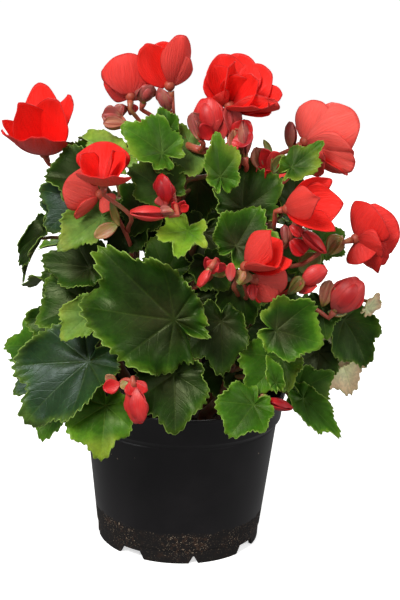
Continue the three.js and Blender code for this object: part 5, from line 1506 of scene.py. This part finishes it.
def leaf_top_material():
    """Green by brightness, with bronze at the heart, pale veins and rim, yellow leaves, and blue-grey
    leaves whose grey is a painted sheen.
    """
    sh = Shader("leaf_upper", Specular_IOR_Level=0.28, Subsurface_Weight=0.04, Subsurface_Scale=0.002)
    brightness, share, yellowing_and_sheen, draw = sh.tone()
    main, side, net = leaf_veins(sh)
    sheen = sh.smooth(yellowing_and_sheen, -0.5, 0.0, 1.0, 0.0)
    sh.put(sh.surface.inputs["Specular Tint"], sh.mix(sheen, paint(214, 226, 170), paint(222, 236, 240)))
    blotches = sh.noise(55, 3)
    grain = sh.noise(420, 3)
    value = sh.plus(sh.plus(brightness, sh.swing(blotches, 0.7)), sh.swing(draw, 0.14))
    colour = sh.ramp(
        value,
        (0.0, paint(20, 34, 6)),
        (0.22, paint(28, 58, 8)),
        (0.5, paint(52, 96, 14)),
        (0.75, paint(90, 136, 26)),
        (1.0, paint(134, 168, 44)),
    )
    bronze = sh.times(sh.smooth(share, 0.1, 0.85, 0.6, 0.0), sh.smooth(blotches, 0.35, 0.62))
    bronze = sh.times(bronze, sh.smooth(brightness, 0.1, 0.6, 1.0, 0.25))
    colour = sh.mix(bronze, colour, paint(46, 38, 24))
    patches = sh.times(sh.smooth(sh.noise(34, 2), 0.48, 0.66), sh.smooth(share, 0.35, 0.95))
    patches = sh.times(patches, sh.smooth(brightness, 0.25, 0.6, 0.0, 0.5))
    colour = sh.mix(patches, colour, paint(150, 158, 52))
    yellow = sh.mix(sh.smooth(share, 0.4, 0.95), paint(246, 246, 196), paint(246, 206, 172))
    colour = sh.mix(sh.smooth(yellowing_and_sheen, 0.3, 1.0, 0.0, 0.9), colour, yellow)
    # Blades whose yellowing is below 0 are greyed to blue-green: a painted sheen of sky light, added to
    # the blue tint of their real reflections.
    colour = sh.mix(sh.smooth(yellowing_and_sheen, -1.0, 0.0, 0.7, 0.0), colour, paint(34, 52, 36))
    pale = sh.mix(0.45, colour, paint(116, 146, 52))
    veins = sh.times(sh.most(main, sh.times(side, 0.3)), sh.smooth(brightness, 0.1, 0.7, 0.1, 0.5))
    colour = sh.mix(veins, colour, pale)
    edge = sh.plus(share, sh.swing(blotches, 0.3))
    light_rim = sh.times(sh.smooth(edge, 0.8, 1.04), sh.smooth(draw, 0.0, 1.0, 0.25, 0.6))
    colour = sh.mix(light_rim, colour, sh.mix(0.5, colour, paint(124, 152, 44)))
    rim = sh.smooth(sh.plus(share, sh.times(grain, 0.02)), 0.985, 1.012)
    rim_colour = sh.mix(sh.smooth(blotches, 0.6, 0.75), paint(142, 172, 80), paint(152, 128, 70))
    colour = sh.mix(sh.times(rim, 0.7), colour, rim_colour)
    colour = sh.mix(1.0, colour, sh.spread(grain, 0.86, 1.12), "MULTIPLY")
    roughness = sh.spread(sh.noise(160, 3), 0.34, 0.48)
    height = sh.times(grain, 0.1)
    for mask, depth in ((main, 0.3), (side, 0.2), (net, 0.08)):
        height = sh.minus(height, sh.times(mask, depth))
    return sh.finish(colour, roughness, height, 0.55, 0.5)


def leaf_under_material():
    """A paler, duller green with brown blotches and raised veins."""
    sh = Shader("leaf_lower", Specular_IOR_Level=0.3)
    brightness, share, yellowing_and_sheen, _ = sh.tone()
    main, side, net = leaf_veins(sh)
    colour = sh.ramp(brightness, (0.0, paint(40, 58, 22)), (1.0, paint(96, 128, 36)))
    colour = sh.mix(sh.times(sh.noise(70, 3), 0.25), colour, paint(96, 70, 40))
    cream = sh.mix(sh.smooth(share, 0.5, 0.95), paint(248, 246, 204), paint(246, 204, 170))
    colour = sh.mix(sh.smooth(yellowing_and_sheen, 0.45, 1.0, 0.0, 0.9), colour, cream)
    veins = sh.times(sh.most(main, sh.times(side, 0.55)), 0.4)
    colour = sh.mix(veins, colour, paint(136, 120, 70))
    height = sh.plus(main, sh.plus(sh.times(side, 0.6), sh.times(net, 0.2)))
    return sh.finish(colour, sh.spread(sh.noise(500, 3), 0.55, 0.7), height, 0.7, 0.5)


def petal_material(name, base, middle, rim, pale, contrast, paleness):
    """A petal: deep at its base, paler over its face, with dark streaks and a darker edge, partly its own
    dark rim and partly painted shade.
    """
    sh = Shader(name, Specular_IOR_Level=0.25, Subsurface_Weight=0.12, Subsurface_Scale=0.002)
    shade, run, side, phase = sh.tone()
    colour = sh.ramp(run, (0.0, base), (0.35, middle), (1.0, rim))
    fan = sh.node("CombineXYZ", X=side, Y=run, Z=phase).outputs[0]
    fine = sh.noise(1.0, 3, sh.stretched(fan, 46, 2.2, 9))
    broad = sh.noise(1.0, 2, sh.stretched(fan, 13, 1.2, 9))
    lines = sh.smooth(sh.plus(sh.times(fine, 0.6), sh.times(broad, 0.4)), 0.38, 0.66)
    bloom = sh.times(sh.smooth(shade, 0.0, 1.0, 0.06, 1.0), paleness)
    colour = sh.mix(sh.times(bloom, sh.spread(broad, 0.7, 1.0)), colour, pale)
    fade = sh.times(sh.smooth(run, 0.1, 1.05, contrast, 0.55 * contrast), lines)
    colour = sh.mix(fade, colour, paint(178, 14, 18))
    # Darker red along the rim and tip: partly the petal's own dark edge, partly painted shade standing in
    # for shading at its margin.
    edge = sh.smooth(sh.most(side, run), 0.93, 1.0, 0.0, 0.5)
    colour = sh.mix(edge, colour, paint(150, 14, 22))
    colour = sh.mix(1.0, colour, sh.smooth(shade, -0.1, 1.0, 0.95, 1.06), "MULTIPLY")
    grain = sh.noise(900, 3)
    height = sh.plus(sh.plus(sh.times(lines, 0.7), sh.times(grain, 0.3)), sh.times(broad, 1.2))
    return sh.finish(colour, sh.spread(grain, 0.42, 0.56), height, 0.55, 0.5)


def stalk_material(name, first, second, speck):
    """Stems and stalks: streaks along their length, with fine raised specks."""
    sh = Shader(name, Specular_IOR_Level=0.45, Subsurface_Weight=0.08, Subsurface_Scale=0.002)
    streaks = sh.noise(1.0, 3, sh.stretched(sh.place(), 1.6, 0.12))
    colour = sh.mix(sh.smooth(streaks, 0.35, 0.65), first, second)
    colour = sh.mix(sh.smooth(sh.noise(60, 3), 0.5, 0.75, 0.0, 0.6), colour, speck)
    grain = sh.noise(700, 3)
    height = sh.plus(sh.times(streaks, 0.5), sh.times(grain, 0.5))
    return sh.finish(colour, sh.spread(grain, 0.36, 0.52), height, 0.4, 0.4)


def make_bud_material():
    """Tepals, pods and bracts: dark red to pink to green by shade, with a darker rim and streaks."""
    sh = Shader("bud_skin", Specular_IOR_Level=0.35, Subsurface_Weight=0.12, Subsurface_Scale=0.002)
    shade, run, side, _ = sh.tone()
    lines = sh.noise(1.0, 3, sh.stretched(sh.place(), 1.5, 0.08))
    from_base = sh.smooth(run, 0.0, 0.45, 0.16, 0.0)
    colour = sh.ramp(
        sh.plus(sh.plus(shade, sh.swing(sh.noise(130, 3), 0.3)), from_base),
        (0.0, paint(122, 14, 26)),
        (0.22, paint(206, 26, 28)),
        (0.42, paint(214, 66, 62)),
        (0.6, paint(150, 78, 72)),
        (0.74, paint(176, 120, 92)),
        (0.88, paint(132, 132, 58)),
        (1.0, paint(124, 150, 84)),
    )
    colour = sh.mix(sh.smooth(lines, 0.45, 0.62, 0.0, 0.3), colour, paint(156, 20, 26))
    rim = sh.smooth(sh.most(sh.times(run, side), sh.minus(side, 0.05)), 0.8, 0.96)
    colour = sh.mix(sh.times(rim, 0.45), colour, paint(150, 30, 34))
    grain = sh.noise(800, 3)
    height = sh.plus(lines, sh.times(grain, 0.3))
    return sh.finish(colour, sh.spread(grain, 0.36, 0.5), height, 0.4, 0.4)


def make_core_material():
    sh = Shader("flower_core", Specular_IOR_Level=0.4)
    grain = sh.noise(600, 4)
    colour = sh.mix(grain, paint(186, 72, 54), paint(140, 70, 46))
    return sh.finish(colour, sh.spread(grain, 0.45, 0.6), grain, 0.5, 0.4)


def make_pot_material():
    """Black moulded plastic, with splashed mud low on its wall and dust in a thin film."""
    sh = Shader("pot_plastic", Specular_IOR_Level=0.28)
    place = sh.node("TexCoord").outputs["Object"]
    height_up = sh.node("SeparateXYZ", Vector=place).outputs[2]
    splash = sh.noise(300, 5, place, 0.7)
    fine = sh.noise(1000, 4, place, 0.65)
    broad = sh.noise(38, 3, place)
    uneven = sh.swing(sh.noise(160, 4, place), 0.008)
    top = DIRT_BAND_HEIGHT * MM
    band = sh.smooth(sh.plus(height_up, uneven), top - 0.002, top, 1.0, 0.0)
    patchy = sh.smooth(sh.noise(70, 3, place), 0.38, 0.62, 0.15, 1.0)
    patchy = sh.times(patchy, sh.smooth(height_up, 0.003, 0.009, 0.3, 1.0))
    mud = sh.times(sh.times(sh.smooth(splash, 0.48, 0.64), band), patchy)
    specks = sh.times(sh.times(sh.smooth(fine, 0.6, 0.65), band), patchy)
    few = sh.smooth(sh.noise(340, 2, place), 0.76, 0.79)
    dust = sh.smooth(broad, 0.35, 0.8, 0.0, 0.16)
    colour = sh.mix(dust, paint(19, 17, 19), paint(50, 46, 48))
    colour = sh.mix(sh.times(band, 0.6), colour, paint(25, 21, 19))
    colour = sh.mix(sh.times(mud, 0.36), colour, paint(92, 62, 42))
    colour = sh.mix(sh.times(sh.most(specks, few), 0.85), colour, paint(190, 168, 142))
    roughness = sh.plus(sh.smooth(broad, 0.3, 0.75, 0.36, 0.44), sh.times(band, 0.4))
    height = sh.plus(sh.times(fine, 0.12), sh.times(mud, 0.8))
    return sh.finish(colour, roughness, height, 0.35, 0.4)


def make_soil_material():
    sh = Shader("soil_peat", Specular_IOR_Level=0.2)
    clods = sh.noise(220, 5, roughness=0.7)
    fine = sh.noise(1200, 4)
    stops = ((0.3, paint(30, 22, 17)), (0.55, paint(60, 45, 33)), (0.8, paint(96, 76, 56)))
    colour = sh.mix(sh.smooth(fine, 0.66, 0.74), sh.ramp(clods, *stops), paint(150, 132, 104))
    height = sh.plus(clods, sh.times(fine, 0.3))
    return sh.finish(colour, sh.spread(fine, 0.8, 0.95), height, 0.8, 1.2)


SHOOT_MATERIALS = [
    leaf_top_material(),
    leaf_under_material(),
    stalk_material("stem_skin", paint(96, 84, 52), paint(122, 58, 44), paint(84, 96, 50)),
    stalk_material("leaf_stalk_skin", paint(112, 112, 58), paint(150, 84, 58), paint(130, 62, 50)),
    stalk_material("flower_stalk_skin", paint(168, 92, 66), paint(186, 66, 56), paint(128, 118, 66)),
]
INSIDE_COLOURS = (paint(176, 6, 8), paint(246, 20, 14), paint(252, 36, 26), paint(252, 70, 54))
OUTSIDE_COLOURS = (paint(180, 38, 34), paint(226, 42, 36), paint(238, 40, 32), paint(240, 104, 92))
BLOOM_MATERIALS = [
    petal_material("petal_inside", *INSIDE_COLOURS, contrast=0.12, paleness=0.4),
    petal_material("petal_outside", *OUTSIDE_COLOURS, contrast=0.42, paleness=0.8),
    make_core_material(),
]
bud_material = make_bud_material()
pot_material = make_pot_material()
soil_material = make_soil_material()


# The plant and its pot, each piece standing for its solid
def dress(piece, slot, *nodes):
    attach(piece, "root")
    if nodes:
        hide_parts(*nodes)


carried = {flower["name"]: flower for flower in [*BLOOMS, *BUDS]}
for shoot in SHOOTS:
    dress(make_shoot(shoot, carried), "leafy_stem", shoot["name"])
for bloom in BLOOMS:
    dress(make_bloom(bloom), "petal", bloom["name"])
for bud in BUDS:
    dress(make_bud(bud), "bud", bud["name"])
dress(make_pods(), "bud")
dress(make_bracts(), "bud")
dress(make_twigs(), "leafy_stem")
dress(make_pot(), "pot", "pot")
dress(make_soil(), "soil", "soil")
dress(make_crumbs(), "soil")


# Floor, light and camera
def make_cove():
    """A pale floor that curves up into a wall far away on every side."""
    sh = Shader("floor_paper", Specular_IOR_Level=0.0, Emission_Color=(1, 1, 1, 1), Emission_Strength=0.62)
    speck = sh.noise(30, 3)
    colour = sh.mix(speck, paint(248, 248, 247), paint(251, 251, 250))
    material = sh.finish(colour, 0.9, speck, 0.02, 0.2)
    turns = np.linspace(0, math.pi / 2, COVE_STEPS)
    profile = [(COVE_FLAT + COVE_BEND * math.sin(a), COVE_BEND * (1 - math.cos(a))) for a in turns]
    profile.append((COVE_FLAT + COVE_BEND, COVE_HEIGHT))
    points = [[0, 0, 0], *rings(profile, COVE_SIDES)]
    faces = []
    for k in range(COVE_SIDES):
        following = (k + 1) % COVE_SIDES
        faces.append([0, 1 + k, 1 + following])
        for a in range(1, len(points) - COVE_SIDES, COVE_SIDES):
            b = a + COVE_SIDES
            faces.append([a + k, b + k, b + following, a + following])
    cove = mesh_object("studio_cove", points, faces, [material])
    cove.visible_diffuse = False
    cove.visible_glossy = False


def add_light(name, place, size, power, colour):
    data = bpy.data.lights.new(name, "AREA")
    data.shape = "DISK"
    data.size = size
    data.energy = power
    data.color = colour
    light = place_new(name, data)
    light.location = place
    aim = Vector(LIGHT_AIM) - light.location
    light.rotation_euler = aim.to_track_quat("-Z", "Y").to_euler()


def add_camera():
    data = bpy.data.cameras.new("camera")
    data.lens = CAMERA_LENS
    data.sensor_width = CAMERA_SENSOR
    camera = place_new("camera", data)
    place = Vector(CAMERA_PLACE)
    aim = (Vector(CAMERA_TARGET) - place).to_track_quat("-Z", "Y").to_matrix().to_4x4()
    camera.matrix_world = Matrix.Translation(place) @ aim @ Matrix.Rotation(CAMERA_ROLL, 4, "Z")
    bpy.context.scene.camera = camera


make_cove()
for light in LIGHTS:
    add_light(*light)
world = bpy.data.worlds.new("studio")
world.use_nodes = True
sky = world.node_tree.nodes["Background"]
sky.inputs["Color"].default_value = (1.0, 1.0, 1.0, 1)
sky.inputs["Strength"].default_value = SKY_STRENGTH
bpy.context.scene.world = world
bpy.context.scene.view_settings.view_transform = "Standard"
add_camera()
